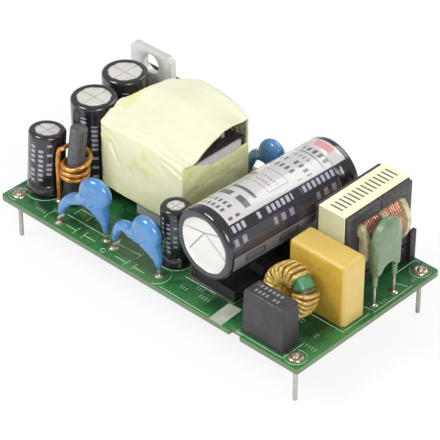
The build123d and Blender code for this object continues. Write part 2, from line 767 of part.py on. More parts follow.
def tent(grow):
    """Draped block of the cover tape, as a solid, grown by a wall."""
    front, back = tent_front + WRAP - grow, tent_back - WRAP + grow
    left = tent_left + WRAP - grow
    shoulder = CORE_TOP + TENT_SHOULDER + grow
    top = CORE_TOP + TENT_RISE + grow
    crest = front + TENT_SLOPE
    arch = ThreePointArc((front, shoulder), (front + 4.0, shoulder + 3.1), (crest, top))
    rest = Polyline((crest, top), (back - TENT_EDGE, top), (back, top - TENT_EDGE),
                    (back, WRAP_BOTTOM), (front, WRAP_BOTTOM), (front, shoulder))
    solid = Pos(left, 0, 0) * extrude(Plane.YZ * make_face(arch + rest), tent_right - left)
    high = CORE_TOP + TENT_RISE
    rear = tent_back - WRAP
    inner_left = tent_left + WRAP
    cuts = [
        [(inner_left + LEFT_FOLD_FRONT[0], tent_front + LEFT_FOLD_FRONT[1], high),
         (inner_left + LEFT_FOLD_BACK[0], rear - LEFT_FOLD_BACK[1], high),
         (inner_left, rear, CORE_TOP + LEFT_FOLD_RISE)],
        [(inner_left + BACK_FOLD_LEFT[0], rear - BACK_FOLD_LEFT[1], high),
         (inner_left + BACK_FOLD_RIGHT, rear, high),
         (inner_left, rear, CORE_TOP - BACK_FOLD_DROP)],
        [(tent_right - RIGHT_FOLD[0], rear, high),
         (tent_right, rear - RIGHT_FOLD[1], high),
         (tent_right, rear - RIGHT_FOLD[1], CORE_TOP)],
    ]
    for points in cuts:
        solid = split(solid, bisect_by=facet(points, grow), keep=Keep.BOTTOM)
    return solid


def transformer_cover():
    """Tape draped from front to back over the winding, open at the right end."""
    return tent(WRAP) - tent(0)


# Line filter choke

def filter_core(front):
    """Front or rear E half, standing with its E upright."""
    edge = filter_front if front else filter_back
    sign = 1 if front else -1
    split = (filter_front + filter_back) / 2
    low, high = min(edge, split), max(edge, split)
    x0, x1 = filter_left, filter_left + FILTER_THICKNESS
    half = block(x0, x1, low, high, FILTER_BASE, filter_top)
    near = edge + sign * FILTER_LEG
    far = split + sign
    window = (min(near, far), max(near, far))
    centre = FILTER_CENTRE_LEG / 2
    for z0, z1 in ((FILTER_BASE + FILTER_LEG, filter_axis_z - centre),
                   (filter_axis_z + centre, filter_top - FILTER_LEG)):
        half -= block(x0 - 1, x1 + 1, window[0], window[1], z0, z1)
    return half


def filter_section(radius):
    """Round section that is cut flat to pass through the core's window."""
    half = FILTER_HEIGHT / 2 - FILTER_LEG - FIT
    return Circle(radius) & Rectangle(2 * radius, 2 * half)


def filter_hole():
    """Room round the centre leg."""
    return Rectangle(FILTER_THICKNESS + 2 * FIT, FILTER_CENTRE_LEG + 2 * FIT)


def filter_axis(y):
    """Plane across the winding axis at a depth y."""
    return Plane(origin=(filter_x, y, filter_axis_z), x_dir=(1, 0, 0), z_dir=(0, 1, 0))


def filter_stations():
    """Depths of the two end flanges and the divider: lists of (start, end)."""
    y0 = filter_front + FILTER_LEG + FIT
    y1 = filter_back - FILTER_LEG - FIT
    mid = (y0 + y1) / 2
    return [(y0, y0 + FILTER_FLANGE), (mid - FILTER_FLANGE / 2, mid + FILTER_FLANGE / 2),
            (y1 - FILTER_FLANGE, y1)]


def filter_bobbin():
    stations = filter_stations()
    start, end = stations[0][0], stations[-1][1]
    tube_face = Rectangle(FILTER_THICKNESS + 2 * FIT + 1.0, FILTER_CENTRE_LEG + 2 * FIT + 1.0)
    bobbin = extrude(filter_axis(start) * tube_face, end - start)
    for a, b in stations:
        bobbin += extrude(filter_axis(a) * filter_section(FILTER_FLANGE_RADIUS), b - a)
    bobbin -= extrude(filter_axis(start - 1) * filter_hole(), end - start + 2)
    return bobbin


def filter_winding(index):
    """Winding between a flange and the divider."""
    stations = filter_stations()
    start, end = stations[index][1], stations[index + 1][0]
    core = Rectangle(FILTER_THICKNESS + 2 * FIT + 1.0, FILTER_CENTRE_LEG + 2 * FIT + 1.0)
    face = filter_section(FILTER_WIND_RADIUS) - core
    return extrude(filter_axis(start) * face, end - start)


def filter_tape():
    half = FILTER_TAPE_WIDTH / 2
    outer = block(filter_x - half, filter_x + half, filter_front - FILTER_TAPE,
                  filter_back + FILTER_TAPE, FILTER_BASE - FILTER_TAPE, filter_top + FILTER_TAPE)
    inner = block(filter_left, filter_left + FILTER_THICKNESS, filter_front, filter_back,
                  FILTER_BASE, filter_top)
    return outer - inner


def filter_base():
    x0, x1 = filter_left, filter_left + FILTER_THICKNESS
    top = FILTER_BASE - FILTER_TAPE
    base = block(x0, x1, filter_front, filter_back, 0, top)
    inset = FILTER_ARCH_INSET
    base -= block(x0 - 1, x1 + 1, filter_front + inset, filter_back - inset, -1,
                  FILTER_ARCH_HEIGHT)
    near, far = filter_back - FILTER_TAPE - 0.5, filter_back + FILTER_FOOT_WIDTH / 2
    foot = block(x1 + FIT, x1 + FIT + FILTER_FOOT_WIDTH / 2, near, far, 0, FILTER_FOOT_HEIGHT)
    arm = block(x1 - 1, x1 + FIT + FILTER_FOOT_WIDTH / 2, near, far, 0, top)
    return base + arm + foot


# Toroid choke

def toroid_frame():
    """Centre of the ring, with z along its axis."""
    return Pos(toroid_x, toroid_y, toroid_z) * Rot(-TOROID_LEAN, 0, 0) * Rot(90, 0, 0)


def toroid_core():
    half, edge = TOROID_WIDTH / 2, 0.4
    ring = turned([(TOROID_BORE, -half + edge), (TOROID_BORE + edge, -half),
                   (TOROID_RADIUS - edge, -half), (TOROID_RADIUS, -half + edge),
                   (TOROID_RADIUS, half - edge), (TOROID_RADIUS - edge, half),
                   (TOROID_BORE + edge, half), (TOROID_BORE, half - edge)])
    return toroid_frame() * ring


def toroid_winding():
    """Turns of wire, each a squared loop round the ring's section."""
    height = TOROID_RADIUS - TOROID_BORE
    mid = (TOROID_RADIUS + TOROID_BORE) / 2
    wall = TOROID_WIRE
    room = 0.05
    outer = Rectangle(height + 2 * wall, TOROID_WIDTH + 2 * wall)
    outer = chamfer(outer.vertices(), wall * 0.6)
    loop_face = outer - Rectangle(height + 2 * room, TOROID_WIDTH + 2 * room)
    loop = extrude(Plane.XZ * Pos(mid, 0) * loop_face, TOROID_WIRE / 2, both=True)
    turns = []
    for step in range(TOROID_TURNS):
        angle = 288.0 + 324.0 * step / TOROID_TURNS
        turns.append(toroid_frame() * Rot(0, 0, angle) * loop)
    return turns


def toroid_feet():
    return pair((toroid_x, toroid_y - toroid_reach + LEAD_RADIUS), TOROID_LEAD_SPAN)


def toroid_leads():
    return [wire([(x, y, 1.6), (x, y, -BOARD_THICKNESS)], LEAD_RADIUS, 0)
            for x, y in toroid_feet()]


# Box parts of the input side

def x_capacitor():
    body = block(input_left, input_left + X_CAP_LENGTH, x_cap_front, x_cap_back, 0, X_CAP_HEIGHT)
    top = body.edges().group_by(Axis.Z)[-1]
    sides = body.edges().filter_by(Axis.Z)
    return chamfer(top + sides, X_CAP_CHAMFER)


def fuse():
    base = Pos(fuse_left + FUSE_LENGTH / 2, FUSE_INSET + FUSE_DEPTH / 2) * Rectangle(
        FUSE_LENGTH, FUSE_DEPTH)
    body = extrude(base, FUSE_HEIGHT, taper=FUSE_TAPER)
    return chamfer(body.edges().group_by(Axis.Z)[-1], 0.3)


def thermistor_feet():
    half = THERMISTOR_PITCH / 2
    return [(thermistor_x, thermistor_y - half), (thermistor_x, thermistor_y + half)]


def thermistor():
    """Dipped disc that faces the right edge, on two coated legs."""
    place = Pos(thermistor_x, thermistor_y, THERMISTOR_HEIGHT) * Rot(0, 0, 90)
    body = place * disc(THERMISTOR_RADIUS, THERMISTOR_THICKNESS)
    half = THERMISTOR_PITCH / 2
    for side in (-1, 1):
        leg = loft([Plane((thermistor_x, thermistor_y + side * (half - 0.1), THERMISTOR_HEIGHT))
                    * RegularPolygon(THERMISTOR_LEG, COAT_SIDES),
                    Plane((thermistor_x, thermistor_y + side * half,
                             THERMISTOR_COAT_END))
                    * RegularPolygon(0.5, COAT_SIDES)])
        body += leg
    width = THERMISTOR_PITCH + THERMISTOR_LEG
    skirt = block(thermistor_x - THERMISTOR_SKIRT / 2, thermistor_x + THERMISTOR_SKIRT / 2,
                  thermistor_y - width / 2, thermistor_y + width / 2,
                  THERMISTOR_ARCH, THERMISTOR_HEIGHT)
    arch = Pos(thermistor_x, thermistor_y, THERMISTOR_ARCH - 0.6) * Rot(0, 90, 0) * Cylinder(
        THERMISTOR_PITCH / 2 - THERMISTOR_LEG * 0.6, 2 * THERMISTOR_SKIRT)
    return body + (skirt - arch)


def thermistor_leads():
    return [wire([(x, y, THERMISTOR_COAT_END), (x, y, -BOARD_THICKNESS)], LEAD_RADIUS, 0)
            for x, y in thermistor_feet()]


# Output rectifier

def rectifier_tab():
    x0, x1 = rectifier_x - TAB_WIDTH / 2, rectifier_x + TAB_WIDTH / 2
    plate = block(x0, x1, tab_front, tab_front + TAB_THICKNESS, RECTIFIER_BOTTOM + 0.6, TAB_TOP)
    corners = plate.edges().filter_by(Axis.Y).group_by(Axis.Z)[-1]
    plate = chamfer(corners, TAB_CORNER)
    hole = Plane(origin=(rectifier_x, tab_front - 1, TAB_TOP - TAB_HOLE_DROP),
                 z_dir=(0, 1, 0)) * Circle(TAB_HOLE_RADIUS)
    return plate - extrude(hole, TAB_THICKNESS + 2)


def rectifier_body():
    half = TAB_WIDTH / 2 - 0.05
    front = tab_front + TAB_THICKNESS
    top = RECTIFIER_BOTTOM + RECTIFIER_BODY_HEIGHT
    body = block(rectifier_x - half, rectifier_x + half, front,
                 front + RECTIFIER_BODY_THICKNESS, RECTIFIER_BOTTOM, top)
    back = body.edges().group_by(Axis.Y)[-1]
    return chamfer(back, 0.5)


def rectifier_feet():
    y = tab_front + TAB_THICKNESS + 1.3
    return [(rectifier_x + step * LEAD_PITCH, y) for step in (-1, 0, 1)]


def rectifier_leads():
    half_x, half_y = FLAT_LEAD_WIDTH / 2, FLAT_LEAD_THICKNESS / 2
    leads = []
    for x, y in rectifier_feet():
        lead = block(x - half_x, x + half_x, y - half_y, y + half_y, 1.2, RECTIFIER_BOTTOM)
        lead += block(x - 0.25, x + 0.25, y - half_y, y + half_y, -BOARD_THICKNESS, 1.2)
        leads.append(lead)
    return leads


# Axial resistor

def axial_place():
    return ((core_mid + core_right) / 2, axial_y, AXIAL_RADIUS + SEAT)


def axial_feet():
    x, y, _ = axial_place()
    return [(x - AXIAL_PITCH / 2, y), (x + AXIAL_PITCH / 2, y)]


def axial_resistor():
    x, y, z = axial_place()
    half, neck = AXIAL_LENGTH / 2, 1.2
    body = turned([(0, -half), (AXIAL_RADIUS * 0.7, -half), (AXIAL_RADIUS, -half + 0.4),
                   (AXIAL_RADIUS, -half + neck), (AXIAL_RADIUS * 0.85, -half + neck + 0.3),
                   (AXIAL_RADIUS * 0.85, half - neck - 0.3), (AXIAL_RADIUS, half - neck),
                   (AXIAL_RADIUS, half - 0.4), (AXIAL_RADIUS * 0.7, half), (0, half)])
    return Pos(x, y, z) * Rot(0, 90, 0) * body


def axial_leads():
    x, y, z = axial_place()
    leads = []
    for side in (-1, 1):
        foot = x + side * AXIAL_PITCH / 2
        leads.append(wire([(x + side * AXIAL_LENGTH / 2, y, z), (foot, y, z),
                           (foot, y, -BOARD_THICKNESS)], LEAD_RADIUS, 0.6))
    return leads


# Underside

def chip(centre, size):
    """Moulded chip that hangs just under the board."""
    x, y = centre
    length, depth, height = size
    top = -BOARD_THICKNESS - SEAT
    body = block(x - length / 2, x + length / 2, y - depth / 2, y + depth / 2, top - height, top)
    return chamfer(body.edges().group_by(Axis.Z)[0], 0.25)


def legs(centre, size, places):
    """Bent legs on the two long sides of a chip, at places along x."""
    x, y = centre
    depth, height = size[1], size[2]
    top = -BOARD_THICKNESS
    made = []
    for side in (-1, 1):
        for place in places:
            a, b = y + side * depth / 2, y + side * (depth / 2 + LEG_REACH)
            low, high = min(a, b), max(a, b)
            foot = block(x + place - LEG_WIDTH / 2, x + place + LEG_WIDTH / 2, low, high,
                         top - LEG_THICKNESS, top)
            knee = y + side * (depth / 2 + LEG_THICKNESS)
            low, high = min(a, knee), max(a, knee)
            foot += block(x + place - LEG_WIDTH / 2, x + place + LEG_WIDTH / 2, low, high,
                          top - height / 2, top)
            made.append(foot)
    return made


controller_y = (max(foot[1] for foot in switch_feet()) + SOLDER_RADIUS + CONTROLLER_GAP
                + LEG_REACH + CONTROLLER_SIZE[1] / 2)
chip_bodies = {
    "bridge_rectifier": ((input_left + BRIDGE_OFFSET[0], toroid_y + BRIDGE_OFFSET[1]),
                         BRIDGE_SIZE, (-2.5, 2.5)),
    "controller_chip": ((bulk_x - CONTROLLER_OFFSET, controller_y),
                        CONTROLLER_SIZE, (-1.9, -0.63, 0.63, 1.9)),
    "optocoupler": ((core_mid + OPTO_OFFSET[0], core_split + OPTO_OFFSET[1]),
                    OPTO_SIZE, (-1.27, 1.27)),
    "clamp_diode": ((core_right + DIODE_OFFSET[0], core_split + DIODE_OFFSET[1]),
                    DIODE_SIZE, (0,)),
}


def chip_legs():
    made = []
    for centre, size, places in chip_bodies.values():
        made += legs(centre, size, places)
    return made


def chip_row(corner, offset, count_and_step):
    """A row of small chip parts under the board, set off from a corner."""
    length, depth, height = CHIP_SIZE
    x, y = corner[0] + offset[0], corner[1] + offset[1]
    count, step = count_and_step
    top = -BOARD_THICKNESS
    row = []
    for index in range(count):
        cx = x + index * step
        row.append(block(cx - depth / 2, cx + depth / 2, y - length / 2, y + length / 2,
                         top - height, top))
    return row


# Assembly

def make_nodes():
    """Every piece by the name of its node, on the board."""
    nodes = {
        "circuit_board": circuit_board(),
        "board_pins": board_pins(),
        "solder_joints": solder_joints(),
        "bulk_capacitor_can": bulk_can(),
        "bulk_capacitor_sleeve": bulk_sleeve(),
        "bulk_capacitor_bung": bulk_bung(),
        "bulk_capacitor_leads": bulk_leads(),
        "switch_transistor_pad": switch_pad(),
        "switch_transistor_body": switch_body(),
        "switch_transistor_leads": switch_leads(),
        "rod_choke_core": rod_choke_core(),
        "rod_choke_tube": rod_choke_tube(),
        "rod_choke_coil": rod_choke_coil(),
        "transformer_core_front": transformer_core(True),
        "transformer_core_rear": transformer_core(False),
        "transformer_bobbin": transformer_bobbin(),
        "transformer_winding": transformer_winding(),
        "transformer_wrap": transformer_wrap(),
        "transformer_edge_strip": transformer_strip(),
        "transformer_cover_tape": transformer_cover(),
        "line_filter_core_front": filter_core(True),
        "line_filter_core_rear": filter_core(False),
        "line_filter_bobbin": filter_bobbin(),
        "line_filter_front_winding": filter_winding(0),
        "line_filter_rear_winding": filter_winding(1),
        "line_filter_tape": filter_tape(),
        "line_filter_base": filter_base(),
        "toroid_core": toroid_core(),
        "toroid_winding": toroid_winding(),
        "toroid_leads": toroid_leads(),
        "x_capacitor": x_capacitor(),
        "fuse": fuse(),
        "thermistor_body": thermistor(),
        "thermistor_leads": thermistor_leads(),
        "rectifier_tab": rectifier_tab(),
        "rectifier_body": rectifier_body(),
        "rectifier_leads": rectifier_leads(),
        "axial_resistor_body": axial_resistor(),
        "axial_resistor_leads": axial_leads(),
        "chip_legs": chip_legs(),
        "chip_resistors": chip_row(small_cap, RESISTOR_ROW_OFFSET, RESISTOR_ROW),
        "chip_capacitors": chip_row((bulk_x, BULK_FRONT), CAPACITOR_ROW_OFFSET, CAPACITOR_ROW),
    }
    for name, centre, radius, height, tilt in (
            ("small_capacitor", small_cap, SMALL_CAP_RADIUS, SMALL_CAP_HEIGHT, SMALL_CAP_LEAN),
            ("front_output_capacitor", front_cap, OUTPUT_CAP_RADIUS, OUTPUT_CAP_HEIGHT, 0),
            ("rear_output_capacitor", rear_cap, OUTPUT_CAP_RADIUS, OUTPUT_CAP_HEIGHT, 0),
            ("supply_capacitor", supply_cap, SUPPLY_CAP_RADIUS, SUPPLY_CAP_HEIGHT, 0)):
        rise = radius * math.sin(math.radians(tilt))
        place = Pos(centre[0], centre[1], rise) * Rot(-tilt, 0, 0)
        nodes[name + "_can"] = place * capacitor_can(radius, height)
        nodes[name + "_sleeve"] = place * capacitor_sleeve(radius, height)
    for name, radius, centre, elbow in (
            ("output_bridge_capacitor", DISC_RADIUS, (8.1, 9.0), (1.2, 5.3)),
            ("input_bridge_capacitor", DISC_RADIUS, (8.5, 7.2), (1.7, 5.5)),
            ("rear_bridge_capacitor", REAR_DISC_RADIUS, (6.0, 9.6), (1.2, 7.4))):
        body, leads = disc_capacitor(y_cap_feet[name], radius, centre, elbow)
        nodes[name + "_body"] = body
        nodes[name + "_leads"] = leads
    for name, (centre, size, _) in chip_bodies.items():
        nodes[name] = chip(centre, size)
    return nodes


def export_all():
    """Write each node in the frame that stands on the pin tips."""
    os.makedirs("parts", exist_ok=True)
    lift = Pos(-board_length / 2, -board_width / 2, BOARD_THICKNESS + PIN_DROP)
    for name, made in make_nodes().items():
        pieces = made if isinstance(made, list) else [made]
        solids = [solid for piece in pieces for solid in (lift * piece).solids()]
        shape = solids[0] if len(solids) == 1 else Compound(children=solids)
        export_step(shape, f"parts/{name}.step")


export_all()
print(f"board {board_length:.2f} x {board_width:.2f} mm")
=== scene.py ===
"""Looks of an open frame power supply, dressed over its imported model.

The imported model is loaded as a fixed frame. Each sub-assembly is a class that
holds its sizes, builds what plain solids can't show (drawn wire, dipped coats,
folded tape, printed sleeves, solder) and gives every node of the frame its
finish.

Sizes are board millimetres: x runs along the long front edge from the front
left corner, y to the back and z up from the board's top face.
"""

import logging
import math
from dataclasses import dataclass
from enum import Enum
from typing import Callable, Sequence

import bmesh
import bpy
import numpy as np
from mathutils import Matrix, Vector, noise

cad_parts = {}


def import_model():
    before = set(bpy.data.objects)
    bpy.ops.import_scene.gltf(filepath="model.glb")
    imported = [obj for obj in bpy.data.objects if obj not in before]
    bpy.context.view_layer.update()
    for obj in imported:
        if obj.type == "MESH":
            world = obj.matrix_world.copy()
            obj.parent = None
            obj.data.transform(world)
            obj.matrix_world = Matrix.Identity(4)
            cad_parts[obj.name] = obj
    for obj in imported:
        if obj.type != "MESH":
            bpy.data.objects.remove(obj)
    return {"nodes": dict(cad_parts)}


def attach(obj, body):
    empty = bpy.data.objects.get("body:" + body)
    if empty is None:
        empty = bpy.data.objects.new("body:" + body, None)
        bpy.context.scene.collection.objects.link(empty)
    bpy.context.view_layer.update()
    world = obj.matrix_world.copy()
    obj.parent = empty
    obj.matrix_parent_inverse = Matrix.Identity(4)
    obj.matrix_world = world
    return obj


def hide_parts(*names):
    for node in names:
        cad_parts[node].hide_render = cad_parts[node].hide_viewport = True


MM = 0.001
BOARD_LENGTH = 70.0
BOARD_WIDTH = 35.98
BOARD_THICKNESS = 1.0
PIN_DROP = 8.0
STAND = BOARD_THICKNESS + PIN_DROP
CORNER = (-BOARD_LENGTH / 2, -BOARD_WIDTH / 2, STAND)
SMOOTH_ANGLE = math.radians(38)
BEVEL_ANGLE = math.radians(32)
FLAT_ANGLE = math.radians(2)
MERGE_GAP = 0.002 * MM
MELT_FACTOR = 0.5
LOOK_PREFIX = "look_"
UV_NAME = "unrolled"
SCORE_NAME = "score"
GIRTH_NAME = "girth"

Point = tuple[float, float, float]
Spot = tuple[float, float]
Colour = tuple[float, float, float, float]
Run = Sequence[Point]
Piece = bpy.types.Object
Nodes = dict[str, Piece]
Socket = bpy.types.NodeSocket
Feed = Socket | float | Colour

log = logging.getLogger("supply")
TO_FRAME = Matrix.Scale(MM, 4) @ Matrix.Translation(CORNER)


def rgb(red: int, green: int, blue: int) -> Colour:
    """Linear colour of a screen colour.

    Args:
        red: Red part from 0 to 255.
        green: Green part.
        blue: Blue part.

    Returns:
        Linear red, green, blue and a full alpha.
    """
    def linear(part: int) -> float:
        """One part of the colour."""
        share = part / 255
        return share / 12.92 if share <= 0.04045 else ((share + 0.055) / 1.055) ** 2.4
    return (linear(red), linear(green), linear(blue), 1.0)


class Slot(Enum):
    """Material slots."""

    BOARD = "board"
    PIN = "pin_metal"
    SOLDER = "solder"
    CAN = "can_aluminium"
    BULK_CAN = "bulk_can"
    SLEEVE = "cap_sleeve"
    BULK_SLEEVE = "bulk_sleeve"
    FERRITE = "ferrite"
    BLACK_BOBBIN = "bobbin_black"
    GREY_BOBBIN = "bobbin_grey"
    BEIGE_BOBBIN = "bobbin_beige"
    WINDING = "winding_tape"
    TAPE = "tape"
    PRINTED_TAPE = "printed_tape"
    COPPER = "copper_wire"
    TOROID_CORE = "toroid_core"
    TOROID_WIRE = "toroid_wire"
    YELLOW_CASE = "yellow_case"
    FUSE = "fuse_case"
    GREEN_COAT = "green_coating"
    BLUE_COAT = "blue_coating"
    MOULDED = "moulded_black"
    TAB = "tab_metal"


class Graph:
    """A node tree that is built node by node."""

    def __init__(self, tree: bpy.types.NodeTree, prefix: str) -> None:
        """Starts with a tree and the prefix of its node types."""
        self.tree, self.prefix = tree, prefix

    def add(self, kind: str, sockets: dict | None = None, **settings) -> bpy.types.Node:
        """Adds a node and feeds its inputs.

        Args:
            kind: Node type without its prefix.
            sockets: Values or sockets to feed, by input name or index.
            **settings: Attributes of the node.

        Returns:
            The new node.
        """
        made = self.tree.nodes.new(self.prefix + kind)
        for key, value in settings.items():
            setattr(made, key, value)
        for key, value in (sockets or {}).items():
            self.feed(made.inputs[key], value)
        return made

    def feed(self, socket: Socket, value: Feed) -> None:
        """Links a socket to an input, or sets the input's own value.

        Args:
            socket: Input to feed.
            value: Socket to link, or the value.
        """
        if isinstance(value, Socket):
            self.tree.links.new(value, socket)
        else:
            socket.default_value = value

    def math(self, operation: str, *values: Feed) -> Socket:
        """Result of a math node on values or sockets."""
        return self.add("Math", dict(enumerate(values)), operation=operation).outputs[0]

    def seen(self) -> Socket:
        """Whether the camera sees a thing straight or through something clear."""
        rays = self.add("LightPath").outputs
        return self.math("MAXIMUM", rays["Is Camera Ray"], rays["Is Transmission Ray"])


class Sheet(Graph):
    """Shader nodes of one finish, measured in board millimetres."""

    def __init__(self, name: str) -> None:
        """Starts a material with one principled shader.

        Args:
            name: Name of the material.
        """
        self.material = bpy.data.materials.new(name)
        self.material.use_nodes = True
        super().__init__(self.material.node_tree, "ShaderNode")
        self.tree.nodes.clear()
        self.shader = self.add("BsdfPrincipled")
        self.out = self.add("OutputMaterial", {"Surface": self.shader.outputs[0]})
        self.places: dict[str, Socket] = {}

    def place(self, axis: str) -> Socket:
        """One coordinate in board millimetres.

        Args:
            axis: X, Y or Z, P for the whole vector, or NX, NY or NZ for the facing.

        Returns:
            The socket with that coordinate.
        """
        if "P" not in self.places:
            coords = self.add("TexCoord")
            mapping = self.add("Mapping", {
                "Vector": coords.outputs["Object"], "Scale": (1 / MM,) * 3,
                "Location": tuple(-part for part in CORNER)})
            self.places["P"] = mapping.outputs[0]
            split = self.add("SeparateXYZ", {0: mapping.outputs[0]})
            facing = self.add("SeparateXYZ", {0: coords.outputs["Normal"]})
            for index, name in enumerate("XYZ"):
                self.places[name] = split.outputs[index]
                self.places["N" + name] = facing.outputs[index]
        return self.places[axis]

    def unrolled(self) -> tuple[Socket, Socket]:
        """Degrees round a turned piece and millimetres along it, from its UV map.

        Returns:
            The sockets of both.
        """
        split = self.add("SeparateXYZ", {0: self.add("UVMap", uv_map=UV_NAME).outputs[0]})
        turn = self.math("MULTIPLY_ADD", split.outputs[0], 360.0, -180.0)
        return turn, split.outputs[1]

    def mix(self, share: Feed, first: Feed, second: Feed) -> Socket:
        """Colour between two colours.

        Args:
            share: How much of the second colour shows, from 0 to 1.
            first: First colour.
            second: Second colour.

        Returns:
            The socket of the mixed colour.
        """
        made = self.add("Mix", data_type="RGBA")
        ends = {socket.identifier: socket for socket in made.inputs}
        self.feed(ends["Factor_Float"], share)
        self.feed(ends["A_Color"], first)
        self.feed(ends["B_Color"], second)
        return next(s for s in made.outputs if s.identifier == "Result_Color")

    def rise(self, value: Feed, start: float, end: float, low: float = 0.0,
             high: float = 1.0) -> Socket:
        """Smooth step of a value from low to high between start and end.

        Args:
            value: Value to map.
            start: Where it starts.
            end: Where it ends.
            low: Result at the start.
            high: Result at the end.

        Returns:
            The result.
        """
        return self.add("MapRange", {"Value": value, "From Min": start, "From Max": end,
                                     "To Min": low, "To Max": high},
                        interpolation_type="SMOOTHSTEP").outputs[0]

    def band(self, value: Feed, low: float, high: float, soft: float) -> Socket:
        """Mask that is 1 where a value lies between two ends."""
        return self.math("MULTIPLY", self.rise(value, low - soft, low + soft),
                         self.rise(value, high - soft, high + soft, 1.0, 0.0))

    def noise(self, size: float, detail: float = 3.0) -> Socket:
        """Cloudy noise whose patches are about size millimetres wide."""
        return self.add("TexNoise", {"Vector": self.place("P"), "Scale": 1 / size,
                                     "Detail": detail, "Roughness": 0.55}).outputs[0]


@dataclass(frozen=True)
class Bars:
    """A row of plain printed bars between two ends each way."""

    across: Spot
    along: Spot
    period: float
    fill: float = 0.62
    chance: float = 0.9
    runs_across: bool = False
    colour: Colour = rgb(170, 166, 178)
    strength: float = 0.85
    seed: float = 0.0

    def over(self, sheet: Sheet, base: Feed, turn: Socket, height: Socket, soft: Spot) -> Socket:
        """Prints the row over a colour.

        Args:
            sheet: Shader nodes to add to.
            base: Colour below the print.
            turn: Socket of the coordinate across the row's field.
            height: Socket of the coordinate along it.
            soft: Softness of the edges in both coordinates.

        Returns:
            The colour with the row on it.
        """
        mask = sheet.math("MULTIPLY", sheet.band(turn, *self.across, soft[0]),
                          sheet.band(height, *self.along, soft[1]))
        if self.fill < 1.0:
            run = turn if self.runs_across else height
            steps = sheet.math("MULTIPLY_ADD", run, 1 / self.period, self.seed)
            share = sheet.math("FRACT", steps)
            edge = soft[0 if self.runs_across else 1] / self.period
            bar = sheet.band(share, edge, self.fill, edge)
            pick = sheet.add("TexWhiteNoise", {"W": sheet.math("FLOOR", steps)},
                             noise_dimensions="1D").outputs["Value"]
            printed = sheet.math("LESS_THAN", pick, self.chance)
            mask = sheet.math("MULTIPLY", mask, sheet.math("MULTIPLY", bar, printed))
        return sheet.mix(sheet.math("MULTIPLY", mask, self.strength), base, self.colour)


def block(across: Spot, along: Spot, colour: Colour, strength: float = 0.85) -> Bars:
    """One solid printed bar."""
    return Bars(across, along, 1.0, fill=1.0, colour=colour, strength=strength)


@dataclass(frozen=True)
class Finish:
    """A surface: two colours that drift into each other, gloss and grain.

    patch and grain are sizes in millimetres, depth is the height of the grain.
    """

    name: str
    colour: Colour
    accent: Colour
    patch: float = 1.5
    share: float = 0.5
    rough: float = 0.5
    swing: float = 0.06
    metal: float = 0.0
    coat: float = 0.0
    coat_rough: float = 0.08
    specular: float = 0.5
    grain: float = 0.25
    depth: float = 0.01
    glow: float = 0.0

    def base(self, sheet: Sheet) -> Socket:
        """Colour before any print."""
        drift = sheet.rise(sheet.noise(self.patch), 0.35, 0.68)
        return sheet.mix(sheet.math("MULTIPLY", drift, self.share), self.colour, self.accent)

    def dressed(self, sheet: Sheet, base: Socket) -> Socket:
        """Colour with what the finish prints over it."""
        return base

    def build(self) -> bpy.types.Material:
        """Makes the material, once for each name.

        Returns:
            The material.
        """
        label = LOOK_PREFIX + self.name
        known = bpy.data.materials.get(label)
        if known:
            return known
        sheet = Sheet(label)
        put = sheet.shader.inputs
        sheet.feed(put["Base Color"], self.dressed(sheet, self.base(sheet)))
        wear = sheet.noise(self.patch * 0.7, 2.0)
        sheet.feed(put["Roughness"], sheet.rise(wear, 0.3, 0.7, self.rough - self.swing,
                                                self.rough + self.swing))
        put["Metallic"].default_value = self.metal
        put["Coat Weight"].default_value = self.coat
        put["Coat Roughness"].default_value = self.coat_rough
        put["Specular IOR Level"].default_value = self.specular
        if self.glow:
            put["Subsurface Weight"].default_value = self.glow
            put["Subsurface Radius"].default_value = (1.0, 0.9, 0.5)
            put["Subsurface Scale"].default_value = 0.6 * MM
        relief = sheet.add("Bump", {"Height": sheet.noise(self.grain, 3.0),
                                    "Distance": self.depth * MM, "Strength": 1.0})
        sheet.feed(put["Normal"], relief.outputs[0])
        return sheet.material


